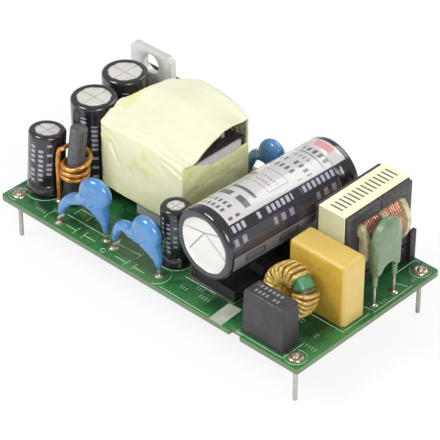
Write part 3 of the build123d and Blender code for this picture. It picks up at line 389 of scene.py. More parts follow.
@dataclass(frozen=True)
class BoardFinish(Finish):
    """Green mask over copper areas, with bare laminate at the edges and painted light towards the
    front and right edges.
    """

    edge: Colour = rgb(102, 130, 86)
    fibre: Colour = rgb(74, 100, 62)
    # bright: colour of the painted light, the paler green towards the front and right edges
    bright: Colour = rgb(58, 130, 68)
    track: Colour = rgb(62, 128, 70)
    gap: Colour = rgb(10, 54, 30)
    band: Colour = rgb(182, 184, 170)
    areas: tuple[Point, ...] = ((0.13, 0.045, 0.35), (0.42, 0.05, 0.16))
    area_turn: float = 0.02
    area_spread: float = 0.85
    # painted light: its share and the ranges over which it rises at the front and right edges
    painted_light_share: float = 0.6
    painted_light_front: Spot = (3.0, 0.6)
    painted_light_right: Spot = (65.0, 69.4)
    band_box: tuple[float, float, float, float] = (50.6, 53.4, -0.5, 5.3)
    band_lean: float = 0.06
    layer_waves: float = 34.0

    def area(self, sheet: Sheet, base: Socket, flat: Socket, scale: float, width: float,
             share: float) -> Socket:
        """Square copper areas with dark seams, seen through the mask.

        Args:
            sheet: Shader nodes to add to.
            base: Colour below.
            flat: Place on the board.
            scale: Areas for each millimetre.
            width: Width of a seam.
            share: How much paler an area with copper is.

        Returns:
            The colour with the areas.
        """
        turned_flat = sheet.add("Mapping", {"Vector": flat, "Rotation": (0, 0, self.area_turn)})
        cell, near = (sheet.add(
            "TexVoronoi", {"Vector": turned_flat.outputs[0], "Scale": scale,
                           "Randomness": self.area_spread},
            distance="CHEBYCHEV", feature=feature) for feature in ("F1", "F2"))
        rim = sheet.math("SUBTRACT", near.outputs["Distance"], cell.outputs["Distance"])
        seam = sheet.rise(rim, width * 0.5, width, 1.0, 0.0)
        tone = sheet.add("SeparateColor", {0: cell.outputs["Color"]}).outputs[0]
        lift = sheet.math("MULTIPLY", sheet.math("GREATER_THAN", tone, 0.55), share)
        base = sheet.mix(lift, base, self.track)
        return sheet.mix(sheet.math("MULTIPLY", seam, 0.6), base, self.gap)

    def pale_band(self, sheet: Sheet, base: Socket) -> Socket:
        """Worn pale band across the board's front edge.

        Args:
            sheet: Shader nodes to add to.
            base: Colour below.

        Returns:
            The dressed colour.
        """
        x0, x1, y0, y1 = self.band_box
        lean = sheet.math("MULTIPLY_ADD", sheet.place("Y"), self.band_lean, sheet.place("X"))
        strip = sheet.math("MULTIPLY", sheet.band(lean, x0, x1, 0.06),
                           sheet.band(sheet.place("Y"), y0, y1, 0.1))
        strip = sheet.math("MULTIPLY", strip, sheet.rise(sheet.place("NZ"), 0.4, 0.6))
        wear = sheet.rise(sheet.noise(1.2), 0.3, 0.6, 0.78, 0.96)
        return sheet.mix(sheet.math("MULTIPLY", strip, wear), base, self.band)

    def dressed(self, sheet: Sheet, base: Socket) -> Socket:
        """Copper areas on both faces, painted light towards the front and right edges, a pale band
        at the front, laminate on the edges.

        Args:
            sheet: Shader nodes to add to.
            base: Colour below.

        Returns:
            The dressed colour.
        """
        flat = sheet.add("CombineXYZ", {0: sheet.place("X"), 1: sheet.place("Y")}).outputs[0]
        for area in self.areas:
            base = self.area(sheet, base, flat, *area)
        # painted light: paler green towards the front and right edges
        share = self.painted_light_share
        rim = sheet.math("MAXIMUM",
                         sheet.rise(sheet.place("Y"), *self.painted_light_front, 0.0, share),
                         sheet.rise(sheet.place("X"), *self.painted_light_right, 0.0, share))
        base = self.pale_band(sheet, sheet.mix(rim, base, self.bright))
        upright = sheet.rise(sheet.math("ABSOLUTE", sheet.place("NZ")), 0.3, 0.7, 1.0, 0.0)
        layers = sheet.math("SINE", sheet.math("MULTIPLY", sheet.place("Z"), self.layer_waves))
        weave = sheet.mix(sheet.rise(layers, -0.8, 0.8), self.edge, self.fibre)
        return sheet.mix(upright, base, weave)


@dataclass(frozen=True)
class TapeFinish(Finish):
    """Thin cream tape with painted shade: olive on its right hand, low and back faces, greyer on
    top, yellow along its left folds; creased.
    """

    # shade: colour of the painted shade on the right hand, low and back faces
    shade: Colour = rgb(205, 208, 140)
    warm: Colour = rgb(226, 226, 120)
    # fold: colour of the painted shade along the folds on the left
    fold: Colour = rgb(206, 206, 96)
    # roof: greyer colour of the top faces, painted shade
    roof: Colour = rgb(206, 205, 181)
    side_share: float = 0.55
    edge_share: float = 0.5

    def dressed(self, sheet: Sheet, base: Socket) -> Socket:
        """Painted shade: olive on the right hand, low and back faces, greyer on top and yellow on
        the left folds; stronger yellow where folds double the tape.

        Args:
            sheet: Shader nodes to add to.
            base: Colour below.

        Returns:
            The dressed colour.
        """
        # painted shade: olive on the right hand faces
        side = sheet.rise(sheet.place("NX"), 0.25, 0.9, 0.0, self.side_share)
        base = sheet.mix(side, base, self.shade)
        # painted shade: olive towards the bottom
        low = sheet.rise(sheet.place("Z"), 3.0, 9.0, 0.4, 0.0)
        base = sheet.mix(low, base, self.shade)
        # painted shade: yellow on the upper left faces, where the tape folds down
        left = sheet.rise(sheet.place("NX"), -0.2, -0.6, 0.0, 0.55)
        left = sheet.math("MULTIPLY", left, sheet.rise(sheet.noise(1.8, 4.0), 0.4, 0.62))
        left = sheet.math("MULTIPLY", left, sheet.rise(sheet.place("Z"), 12.0, 15.0))
        base = sheet.mix(left, base, self.fold)
        # painted shade: olive on the back faces
        back = sheet.rise(sheet.place("NY"), 0.3, 0.9, 0.0, 0.3)
        base = sheet.mix(back, base, self.shade)
        # painted shade: greyer top faces
        up = sheet.rise(sheet.place("NZ"), 0.45, 0.85, 0.0, 0.8)
        base = sheet.mix(up, base, self.roof)
        # painted shade: ragged yellow strip along the fold near the roof's left end
        wander = sheet.math("MULTIPLY_ADD", sheet.noise(1.4, 4.0), 3.2, sheet.place("X"))
        ragged = sheet.math("MULTIPLY", sheet.band(wander, 16.0, 17.7, 0.25),
                            sheet.band(sheet.place("Y"), 15.5, 24.5, 1.2))
        ragged = sheet.math("MULTIPLY", ragged, sheet.rise(sheet.place("Z"), 13.5, 15.5))
        base = sheet.mix(sheet.math("MULTIPLY", ragged, 0.5), base, self.fold)
        double = sheet.rise(sheet.noise(4.5, 4.0), 0.56, 0.72, 0.0, self.edge_share)
        return sheet.mix(sheet.math("MULTIPLY", double, sheet.rise(
            sheet.place("NZ"), 0.97, 0.6)), base, self.warm)


@dataclass(frozen=True)
class BoxFinish(Finish):
    """Cast box with painted light: paler on its right hand side and its top, stained with rubbed
    print in front.
    """

    # side: colour of the painted light on the right hand faces
    side: Colour = rgb(206, 181, 112)
    stain: Colour = rgb(150, 120, 50)
    # top: colour of the painted light on the top faces
    top: Colour = rgb(206, 180, 98)

    def dressed(self, sheet: Sheet, base: Socket) -> Socket:
        """Painted light on the right hand side and the top, and olive stains on the front face.

        Args:
            sheet: Shader nodes to add to.
            base: Colour below.

        Returns:
            The dressed colour.
        """
        # painted light: paler right hand side and top
        base = sheet.mix(sheet.rise(sheet.place("NX"), 0.3, 0.9, 0.0, 0.75), base, self.side)
        base = sheet.mix(sheet.rise(sheet.place("NZ"), 0.5, 0.9, 0.0, 0.7), base, self.top)
        front = sheet.rise(sheet.place("NY"), -0.4, -0.9)
        rows = sheet.math("FRACT", sheet.math("MULTIPLY", sheet.place("Z"), 0.46))
        marks = sheet.math("MULTIPLY", sheet.band(rows, 0.2, 0.62, 0.06),
                           sheet.rise(sheet.noise(0.42, 1.0), 0.5, 0.6))
        marks = sheet.math("MULTIPLY", marks, sheet.band(sheet.place("X"), 60.0, 67.2, 0.5))
        marks = sheet.math("MULTIPLY", marks, sheet.rise(sheet.noise(3.0), 0.38, 0.6))
        return sheet.mix(sheet.math("MULTIPLY", sheet.math("MULTIPLY", marks, front), 0.4),
                         base, self.stain)


@dataclass(frozen=True)
class PrintedFinish(Finish):
    """A finish with rows of plain bars, on the piece's UV map or in board sizes."""

    rows: tuple[Bars, ...] = ()
    axes: tuple[str, str] | None = None
    soft: Spot = (0.9, 0.05)
    # front: colour of the painted shade on faces that look to the front
    front: Colour | None = None

    def dressed(self, sheet: Sheet, base: Socket) -> Socket:
        """Prints every row, over painted shade on the front faces when a front colour is given.

        Args:
            sheet: Shader nodes to add to.
            base: Colour below.

        Returns:
            The dressed colour.
        """
        # painted shade: darker front faces
        if self.front is not None:
            base = sheet.mix(sheet.rise(sheet.place("NY"), -0.4, -0.9), base, self.front)
        if self.axes is None:
            turn, height = sheet.unrolled()
        else:
            turn, height = sheet.place(self.axes[0]), sheet.place(self.axes[1])
        for row in self.rows:
            base = row.over(sheet, base, turn, height, self.soft)
        return base


@dataclass(frozen=True)
class ScoredFinish(Finish):
    """A pressed end face with painted shade in its score grooves, from an attribute."""

    # line: colour of the painted shade in the grooves
    line: Colour = rgb(120, 116, 116)

    def dressed(self, sheet: Sheet, base: Socket) -> Socket:
        """Paints shade into the score grooves."""
        score = sheet.add("Attribute", attribute_name=SCORE_NAME, attribute_type="GEOMETRY")
        return sheet.mix(score.outputs["Fac"], base, self.line)


WHITE = rgb(190, 186, 185)
BLACK_INK = rgb(46, 44, 48)
PALE_INK = rgb(178, 174, 190)
STRIPE_GREY = rgb(104, 101, 112)

BOARD_MASK = BoardFinish(
    "board_mask", rgb(19, 67, 38), rgb(34, 86, 50), patch=9.0, rough=0.34, coat=0.35,
    coat_rough=0.2, grain=0.5, depth=0.006)
TIN = Finish(
    "tinned_wire", rgb(196, 190, 178), rgb(150, 140, 124), patch=0.8, rough=0.34, metal=0.9,
    grain=0.12, depth=0.006)
PIN_TIN = Finish(
    "tinned_pin", rgb(190, 188, 178), rgb(160, 157, 146), patch=1.6, rough=0.36, metal=0.8,
    grain=0.3, depth=0.006)
SOLDER_METAL = Finish(
    "solder_metal", rgb(206, 198, 178), rgb(150, 128, 96), patch=0.55, share=0.75, rough=0.26,
    swing=0.1, metal=0.85, grain=0.35, depth=0.03)
SILK = Finish(
    "silk_ink", rgb(206, 220, 200), rgb(168, 198, 170), patch=0.7, rough=0.6, grain=0.12,
    depth=0.004)
# line is the painted shade in the score grooves of both can ends
BARE_ALUMINIUM = ScoredFinish(
    "can_top", rgb(212, 208, 202), rgb(190, 186, 180), patch=1.8, metal=0.25,
    grain=0.2, depth=0.004, line=rgb(142, 138, 134))
BULK_END = ScoredFinish(
    "bulk_end", rgb(222, 220, 216), rgb(210, 207, 203), patch=2.5, metal=0.05,
    grain=0.3, depth=0.004, line=rgb(112, 108, 108))
RUBBER = Finish(
    "bung_rubber", rgb(40, 40, 42), rgb(58, 58, 60), rough=0.8, grain=0.2, depth=0.02)
FERRITE = Finish(
    "ferrite_grey", rgb(48, 46, 47), rgb(74, 71, 71), patch=0.7, share=0.6, swing=0.12,
    grain=0.18, depth=0.025, specular=0.6)
ROD_FERRITE = Finish(
    "rod_ferrite", rgb(70, 69, 72), rgb(96, 95, 98), patch=1.4, share=0.6, rough=0.42, swing=0.1,
    grain=0.15, depth=0.012, specular=0.6)
BLACK_PLASTIC = Finish(
    "black_plastic", rgb(30, 29, 31), rgb(48, 46, 48), patch=1.8, rough=0.4, grain=0.2,
    depth=0.012)
GREY_PLASTIC = Finish(
    "grey_plastic", rgb(168, 170, 164), rgb(140, 142, 138), patch=2.2)
BEIGE_PLASTIC = Finish(
    "glue_beige", rgb(206, 196, 160), rgb(150, 136, 104), patch=1.1, share=0.8, rough=0.42,
    grain=0.4, depth=0.05)
WINDING_TAPE = Finish(
    "winding_tape", rgb(52, 48, 46), rgb(88, 80, 72), patch=1.2, rough=0.35, grain=0.5,
    depth=0.04)
# its shade, fold and roof colours are painted shade
CREAM_TAPE = TapeFinish(
    "cream_tape", rgb(236, 234, 200), rgb(230, 229, 186), patch=4.0, rough=0.46, swing=0.05,
    coat=0.12, coat_rough=0.3, grain=2.2, depth=0.05, specular=0.4)
# painted light: a copy of the cream tape whose right hand faces turn pale yellow instead of olive,
# lifting the shade on the side layer
WRAP_TAPE = TapeFinish(
    "wrap_tape", rgb(236, 236, 196), rgb(226, 226, 176), patch=3.0, rough=0.44, grain=1.4,
    depth=0.04, side_share=0.5, shade=rgb(240, 240, 160))
EDGE_STRIP = Finish(
    "edge_strip", rgb(216, 208, 204), rgb(196, 188, 184), rough=0.45, grain=0.3,
    depth=0.012)
COPPER = Finish(
    "enamelled_copper", rgb(214, 150, 66), rgb(164, 98, 34), patch=0.9, share=0.7, rough=0.24,
    metal=0.55, coat=0.5, grain=0.2, depth=0.006)
PINK_COPPER = Finish(
    "pink_copper", rgb(206, 150, 122), rgb(150, 86, 60), patch=0.5, share=0.8, rough=0.26,
    metal=0.5, coat=0.4, grain=0.2, depth=0.008)
GOLD_WIRE = Finish(
    "gold_enamel", rgb(206, 178, 92), rgb(156, 118, 52), patch=0.7, share=0.75, rough=0.3,
    metal=0.3, coat=0.4, grain=0.15, depth=0.008)
# fine wire between the gold turns; its dark brown is partly painted shade of the gaps between them
FINE_WIRE_AND_GAP_SHADE = Finish(
    "brown_enamel", rgb(120, 72, 44), rgb(84, 46, 26), patch=0.5, share=0.8, rough=0.28,
    metal=0.4, coat=0.4, grain=0.2, depth=0.008)
GREEN_CORE = Finish(
    "green_core", rgb(78, 140, 100), rgb(58, 116, 82), patch=1.6, rough=0.35, coat=0.4, grain=0.4,
    depth=0.015)
# its side and top colours are painted light
YELLOW_CASE = BoxFinish(
    "yellow_box", rgb(194, 160, 60), rgb(180, 142, 50), patch=2.4, share=0.6, rough=0.4,
    grain=0.35, depth=0.012)
GREEN_DIP = Finish(
    "green_dip", rgb(106, 130, 96), rgb(88, 110, 80), patch=1.6, share=0.55, rough=0.34,
    coat=0.45, coat_rough=0.15, grain=0.5, depth=0.03)
BLUE_DIP = Finish(
    "blue_dip", rgb(74, 131, 184), rgb(56, 108, 158), patch=2.2, share=0.4, rough=0.26, coat=0.7,
    grain=0.5, depth=0.018, glow=0.05)
MOULDED = Finish(
    "moulded_case", rgb(34, 33, 35), rgb(52, 50, 52), patch=1.2, grain=0.14,
    depth=0.014)
TAB_METAL = Finish(
    "tab_nickel", rgb(214, 213, 209), rgb(196, 195, 190), patch=3.4, rough=0.42, swing=0.05,
    metal=0.45, grain=0.3, depth=0.003)
PAD_SHEET = Finish(
    "grey_pad", rgb(92, 92, 86), rgb(70, 70, 66), patch=1.2, rough=0.6, grain=0.2, depth=0.02)
CHIP_TAN = Finish(
    "chip_tan", rgb(180, 150, 110), rgb(150, 122, 86), patch=0.5, grain=0.1,
    depth=0.008)
RESISTOR_BODY = PrintedFinish(
    "resistor_bands", rgb(214, 188, 150), rgb(196, 168, 128), patch=1.2, rough=0.4, coat=0.2,
    axes=("Y", "X"), soft=(0.05, 0.05),
    rows=tuple(block((0, 99), (middle - 0.28, middle + 0.28), colour, 0.9)
               for middle, colour in ((25.6, rgb(150, 60, 40)), (26.9, rgb(60, 50, 44)),
                                      (28.2, rgb(150, 60, 40)), (30.2, rgb(190, 150, 60)))))


def sleeve_finish(name: str, facing: float, height: float, columns: int) -> PrintedFinish:
    """Black sleeve with upright columns of plain pale bars.

    Args:
        name: Name of the finish.
        facing: Direction of the middle column in degrees.
        height: Height of the sleeve.
        columns: Number of columns.

    Returns:
        The finish.
    """
    rows = []
    for index in range(columns):
        middle = facing + (index - (columns - 1) / 2) * 27
        start = 0.16 * height + 1.1 * ((index * 7) % 3)
        rows.append(Bars((middle - 8, middle + 7), (start, height * (0.88 - 0.09 * (index % 2))),
                         0.95, fill=0.62, chance=0.8, colour=PALE_INK, strength=0.7,
                         seed=index * 3.7))
    stripe = facing + 150
    if stripe > 160:
        stripe -= 360
    rows.append(block((stripe - 16, stripe + 16), (0.6, height - 1.0), STRIPE_GREY, 0.8))
    rows.append(Bars((stripe - 7, stripe + 7), (1.0, height - 1.5), 2.4, fill=0.5, chance=1.0,
                     colour=BLACK_INK, strength=0.9))
    return PrintedFinish(name, rgb(26, 25, 29), rgb(40, 38, 44), patch=2.5, rough=0.22,
                         swing=0.05, coat=0.6, coat_rough=0.12, grain=1.2, depth=0.02,
                         rows=tuple(rows))


def bulk_rows() -> tuple[Bars, ...]:
    """Pale label with plain bars, and bars, a painted reflection band and a stripe on the black
    part.

    Returns:
        The rows.
    """
    dark, faint = rgb(58, 54, 60), rgb(128, 122, 128)
    rows = [block((-64, 38), (1.7, 28.9), WHITE, 1.0),
            Bars((-60, 34), (2.3, 3.2), 9.0, colour=dark, runs_across=True, chance=0.85),
            Bars((-44, 34), (3.9, 4.8), 9.0, colour=dark, runs_across=True, chance=0.9,
                 seed=4.0),
            block((-30, -6), (6.4, 7.7), dark),
            block((4, 28), (6.4, 7.7), dark),
            block((-24, 22), (9.0, 9.7), dark),
            block((-50, 26), (12.0, 16.6), faint),
            block((-48, 24.5), (12.15, 16.45), WHITE, 1.0),
            Bars((-44, -20), (13.0, 15.7), 1.0, fill=0.7, chance=0.7, colour=faint),
            Bars((-14, 20), (12.9, 13.4), 6.0, colour=faint, runs_across=True),
            Bars((-14, 20), (14.2, 14.7), 6.0, colour=faint, runs_across=True, seed=2.0),
            Bars((-30, 32), (18.1, 19.2), 10.0, colour=dark, runs_across=True, chance=0.85),
            Bars((-52, 33), (20.3, 21.4), 10.0, colour=dark, runs_across=True, seed=7.0),
            Bars((-40, 18), (22.4, 23.1), 8.0, colour=faint, runs_across=True, seed=3.0),
            block((-34, 33), (24.0, 24.25), dark),
            Bars((-30, 32), (24.7, 25.9), 11.0, colour=dark, runs_across=True, seed=1.0),
            block((-16, 18), (27.1, 28.5), rgb(204, 122, 118), 0.75)]
    for start, end in ((1.4, 5.0), (7.2, 15.6), (17.6, 26.4)):
        rows.append(Bars((41, 51), (start, end), 1.1, fill=0.66, chance=0.92,
                         colour=rgb(176, 172, 188), strength=0.9, seed=start))
    for start, end in ((1.2, 4.6), (10.2, 15.6), (20.2, 25.6)):
        rows.append(Bars((60, 71), (start, end), 1.9, fill=0.55, chance=1.0,
                         colour=rgb(172, 168, 184), strength=0.85, seed=start * 0.37))
    # painted reflection: faint grey band over the bars on the black film
    rows.append(block((56, 84), (0.8, 26.2), rgb(92, 88, 98), 0.34))
    rows.append(block((86, 112), (0.5, 29.4), rgb(122, 119, 128), 0.9))
    for start in (3.2, 10.9, 18.6):
        rows.append(block((91, 104), (start, start + 4.4), BLACK_INK, 0.85))
        rows.append(block((93, 102), (start + 0.25, start + 4.15), rgb(104, 101, 110), 1.0))
    rows.append(Bars((-180, -118), (0.5, 29.4), 9.0, fill=1.0, colour=STRIPE_GREY,
                     strength=0.5))
    return tuple(rows)


BULK_SLEEVE = PrintedFinish("bulk_label", rgb(30, 28, 33), rgb(44, 41, 48), patch=3.5,
                            rough=0.2, swing=0.04, coat=0.5, coat_rough=0.1, grain=2.0,
                            depth=0.02, rows=bulk_rows())
# front is the painted shade of the band's front face
PRINTED_TAPE = PrintedFinish(
    "printed_tape", rgb(240, 238, 196), rgb(230, 228, 178), patch=2.6, rough=0.42, coat=0.15,
    grain=1.2, depth=0.03, axes=("X", "Y"), soft=(0.06, 0.06), front=rgb(186, 184, 150),
    rows=(Bars((58.9, 61.6), (19.9, 34.2), 1.06, fill=0.45, chance=0.93, colour=BLACK_INK,
               strength=0.9, seed=2.3),))
FUSE_CASE = PrintedFinish(
    "fuse_box", rgb(56, 52, 54), rgb(46, 43, 45), patch=1.3, share=0.7, rough=0.5,
    grain=0.16, depth=0.014, axes=("X", "Y"), soft=(0.06, 0.05),
    rows=(Bars((58.0, 64.4), (3.6, 4.3), 0.86, fill=0.6, chance=0.8, runs_across=True,
               colour=rgb(176, 170, 172), strength=0.5),
          Bars((58.4, 63.6), (2.2, 2.9), 0.78, fill=0.6, chance=0.8, runs_across=True,
               colour=rgb(176, 170, 172), strength=0.5, seed=5.0)))


# Meshes

def to_object(name: str, mesh: bpy.types.Mesh) -> Piece:
    """Puts a mesh into the scene as an object at the origin.

    Args:
        name: Name of the object.
        mesh: Its mesh.

    Returns:
        The object.
    """
    made = bpy.data.objects.new(name, mesh)
    bpy.context.scene.collection.objects.link(made)
    return made


def signed_power(value: float, power: float) -> float:
    """Power of a number's size, with the number's own sign."""
    return math.copysign(abs(value) ** power, value)


def soften(mesh: bpy.types.Mesh) -> None:
    """Shades a mesh smooth, with its real edges kept sharp."""
    mesh.shade_smooth()
    mesh.set_sharp_from_angle(angle=SMOOTH_ANGLE)


def baked(piece: Piece) -> Piece:
    """Turns a piece with modifiers into a plain mesh object of the same name.

    Args:
        piece: Object whose modifiers are ready.

    Returns:
        The plain object.
    """
    evaluated = piece.evaluated_get(bpy.context.evaluated_depsgraph_get())
    mesh = bpy.data.meshes.new_from_object(evaluated)
    name, old = piece.name, piece.data
    bpy.data.objects.remove(piece)
    if old.users == 0 and isinstance(old, bpy.types.Mesh):
        bpy.data.meshes.remove(old)
    return to_object(name, mesh)


def settle(piece: Piece, finish: Finish, slot: Slot, *nodes: str) -> None:
    """Gives a finished piece its material and its body, and hides the CAD nodes that it stands
    for.

    Args:
        piece: Finished piece.
        finish: Its finish.
        slot: Not used.
        *nodes: CAD nodes that it stands for.
    """
    piece.data.materials.clear()
    piece.data.materials.append(finish.build())
    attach(piece, "root")
    if nodes:
        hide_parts(*nodes)
    log.info("%s: %d faces", piece.name, len(piece.data.polygons))


def merged(node: Piece, name: str, flatten: bool = True) -> Piece:
    """Copies a CAD node with its loose triangles joined.

    Args:
        node: Node to copy.
        name: Name of the copy.
        flatten: Whether flat triangles become whole faces.

    Returns:
        The copy, in the scene.
    """
    shape = bmesh.new()
    shape.from_mesh(node.data)
    bmesh.ops.remove_doubles(shape, verts=shape.verts, dist=MERGE_GAP)
    if flatten:
        bmesh.ops.dissolve_limit(shape, angle_limit=FLAT_ANGLE, verts=shape.verts,
                                 edges=shape.edges)
    mesh = bpy.data.meshes.new(name)
    shape.to_mesh(mesh)
    shape.free()
    if "custom_normal" in mesh.attributes:
        mesh.attributes.remove(mesh.attributes["custom_normal"])
    return to_object(name, mesh)


def eased(node: Piece, name: str, width: float, segments: int) -> Piece:
    """Copy of a CAD node whose sharp edges are rounded.

    Args:
        node: Node to copy.
        name: Name of the piece.
        width: Width of the rounding in millimetres.
        segments: Number of faces across it.

    Returns:
        The piece as a plain mesh.
    """
    piece = merged(node, name)
    bevel = piece.modifiers.new("edges", "BEVEL")
    bevel.width = width * MM
    bevel.segments = segments
    bevel.limit_method = "ANGLE"
    bevel.angle_limit = BEVEL_ANGLE
    bevel.use_clamp_overlap = True
    piece = baked(piece)
    soften(piece.data)
    return piece


def melted(node: Piece, name: str, voxel: float, rounds: int) -> Piece:
    """Copy of a CAD node as one soft skin, such as a dipped coat."""
    return skinned(merged(node, name, flatten=False), voxel, rounds)


def skinned(piece: Piece, voxel: float, rounds: int) -> Piece:
    """Joins overlapping shapes into one soft skin.

    Args:
        piece: The shapes, in one object.
        voxel: Size of its grid in millimetres.
        rounds: Number of smoothing rounds.

    Returns:
        The piece as a plain mesh.
    """
    remesh = piece.modifiers.new("skin", "REMESH")
    remesh.mode = "VOXEL"
    remesh.voxel_size = voxel * MM
    smooth = piece.modifiers.new("flow", "SMOOTH")
    smooth.factor = MELT_FACTOR
    smooth.iterations = rounds
    piece = baked(piece)
    piece.data.shade_smooth()
    return piece


def coordinates(mesh: bpy.types.Mesh) -> np.ndarray:
    """Places of a mesh's points in board millimetres.

    Args:
        mesh: The mesh.

    Returns:
        x, y and z of each point.
    """
    flat = np.zeros(len(mesh.vertices) * 3)
    mesh.vertices.foreach_get("co", flat)
    return flat.reshape(-1, 3) / MM - np.array(CORNER)


def move_points(mesh: bpy.types.Mesh, places: np.ndarray) -> None:
    """Puts a mesh's points at places in board millimetres.

    Args:
        mesh: The mesh.
        places: x, y and z of each point.
    """
    shifted = (places + np.array(CORNER)) * MM
    mesh.vertices.foreach_set("co", shifted.ravel())
    mesh.update()


def islands(node: Piece) -> list[tuple[np.ndarray, np.ndarray]]:
    """Finds the separate solids of a node.

    Args:
        node: CAD node.

    Returns:
        Lowest and highest corner of each solid in board millimetres.
    """
    shape = bmesh.new()
    shape.from_mesh(node.data)
    bmesh.ops.remove_doubles(shape, verts=shape.verts, dist=MERGE_GAP)
    shape.verts.ensure_lookup_table()
    seen, found = set(), []
    for start in shape.verts:
        if start.index in seen:
            continue
        seen.add(start.index)
        queue, members = [start], []
        while queue:
            vert = queue.pop()
            members.append(vert.co[:])
            for edge in vert.link_edges:
                other = edge.other_vert(vert)
                if other.index not in seen:
                    seen.add(other.index)
                    queue.append(other)
        places = np.array(members) / MM - np.array(CORNER)
        found.append((places.min(0), places.max(0)))
    shape.free()
    return found


def box_middle(corners: tuple[np.ndarray, np.ndarray]) -> Spot:
    """Place on the board of the middle of a box."""
    start, end = corners
    return (start[0] + end[0]) / 2, (start[1] + end[1]) / 2


def face_outwards(mesh: bpy.types.Mesh) -> None:
    """Points the faces of a closed mesh outwards.

    Args:
        mesh: The mesh, which is changed.
    """
    shape = bmesh.new()
    shape.from_mesh(mesh)
    bmesh.ops.recalc_face_normals(shape, faces=shape.faces)
    shape.to_mesh(mesh)
    shape.free()


def turned(name: str, profile: Sequence[Spot], segments: int, place: Matrix,
           closed: bool = False, shape: Callable[[np.ndarray], np.ndarray] | None = None,
           score: Callable[[np.ndarray], np.ndarray] | None = None) -> Piece:
    """Turns a profile into a closed piece with an unrolled UV map.

    Args:
        name: Name of the piece.
        profile: (radius, height) pairs in millimetres.
        segments: Number of steps round the axis.
        place: Matrix from the piece's own millimetres to board millimetres.
        closed: Whether the profile's last point joins its first.
        shape: Moves the points, in the piece's own millimetres.
        score: Depth of score lines from 0 to 1 at each point.

    Returns:
        The piece.
    """
    points, rings = [], []
    for radius, height in profile:
        if radius < 1e-6:
            rings.append([len(points)] * (segments + 1))
            points.append((0.0, 0.0, height))
            continue
        ring = []
        for step in range(segments):
            angle = 2 * math.pi * step / segments - math.pi
            ring.append(len(points))
            points.append((radius * math.cos(angle), radius * math.sin(angle), height))
        rings.append(ring + [ring[0]])
    pairs = list(zip(range(len(rings) - 1), range(1, len(rings))))
    if closed:
        pairs.append((len(rings) - 1, 0))
    faces, uvs = [], []
    for low, high in pairs:
        for step in range(segments):
            corners = [(rings[low][step], step, low), (rings[low][step + 1], step + 1, low),
                       (rings[high][step + 1], step + 1, high), (rings[high][step], step, high)]
            kept = [c for i, c in enumerate(corners) if c[0] not in [d[0] for d in corners[:i]]]
            if len(kept) < 3:
                continue
            faces.append([c[0] for c in kept])
            uvs += [(c[1] / segments, profile[c[2]][1]) for c in kept]
    places = np.array(points)
    depth = score(places) if score else None
    if shape:
        places = shape(places)
    world = TO_FRAME @ place
    mesh = bpy.data.meshes.new(name)
    mesh.from_pydata([world @ Vector(p) for p in places], [], faces)
    layer = mesh.uv_layers.new(name=UV_NAME)
    layer.data.foreach_set("uv", np.array(uvs).ravel())
    if depth is not None:
        mark = mesh.attributes.new(SCORE_NAME, "FLOAT", "POINT")
        mark.data.foreach_set("value", depth)
    face_outwards(mesh)
    soften(mesh)
    return to_object(name, mesh)


def seed_shape(name: str, profile: Sequence[Spot], segments: int) -> Piece:
    """Turned shape at its own origin, to be set on points.

    Args:
        name: Name of the shape.
        profile: (radius, height) pairs in millimetres.
        segments: Number of steps round the axis.

    Returns:
        The shape.
    """
    made = turned(name, profile, segments, Matrix.Identity(4))
    made.data.transform(TO_FRAME.inverted())
    made.data.transform(Matrix.Scale(MM, 4))
    return made


def joined(name: str, pieces: Sequence[Piece]) -> Piece:
    """Joins pieces at the origin into one plain mesh.

    Args:
        name: Name of the joined piece.
        pieces: Pieces, which are removed.

    Returns:
        The joined piece.
    """
    shape = bmesh.new()
    for piece in pieces:
        shape.from_mesh(piece.data)
    mesh = bpy.data.meshes.new(name)
    shape.to_mesh(mesh)
    shape.free()
    for piece in pieces:
        bpy.data.objects.remove(piece)
    soften(mesh)
    return to_object(name, mesh)


def line_gap(places: np.ndarray, start: Sequence[float], end: Sequence[float]) -> np.ndarray:
    """Distance of points to a straight line between two ends.

    Args:
        places: Points.
        start: One end of the line.
        end: Its other end.

    Returns:
        The distance of each point.
    """
    run = np.array(end) - np.array(start)
    rel = places - np.array(start)
    share = np.clip(rel @ run / (run @ run), 0, 1)
    return np.linalg.norm(rel - share[:, None] * run, axis=1)


def near_lines(places: np.ndarray, lines: Sequence[tuple[float, float, float, float]],
               width: float) -> np.ndarray:
    """How near each point is to a set of lines in the plane, from 0 to 1.

    Args:
        places: Points, of which x and y are used.
        lines: Ends of each line as x0, y0, x1, y1.
        width: Half width of a line.

    Returns:
        1 on a line, 0 away from it.
    """
    best = np.zeros(len(places))
    for x0, y0, x1, y1 in lines:
        gap = line_gap(places[:, :2], (x0, y0), (x1, y1))
        best = np.maximum(best, np.exp(-((gap / width) ** 2)))
    return best


def flowing(points: Run, steps: int = 10) -> list[Point]:
    """Smooth line through points, for drawn and bent wire.

    Args:
        points: Points that the line passes.
        steps: Number of points between two of them.

    Returns:
        The line.
    """
    spots = [Vector(p) for p in points]
    ends = [spots[0] * 2 - spots[1]] + spots + [spots[-1] * 2 - spots[-2]]
    line = []
    for a, b, c, d in zip(ends, ends[1:], ends[2:], ends[3:]):
        for step in range(steps):
            t = step / steps
            line.append(0.5 * ((2 * b) + (c - a) * t + (2 * a - 5 * b + 4 * c - d) * t * t
                               + (3 * b - a - 3 * c + d) * t ** 3))
    return [tuple(p) for p in line + [spots[-1]]]


def arc(centre: Spot, radius: float, start: float, end: float, steps: int = 40) -> list[Spot]:
    """Points on an arc over the board, with angles in degrees."""
    angles = [math.radians(start + (end - start) * i / steps) for i in range(steps + 1)]
    return [(centre[0] + radius * math.cos(a), centre[1] + radius * math.sin(a)) for a in angles]


# Geometry node trees

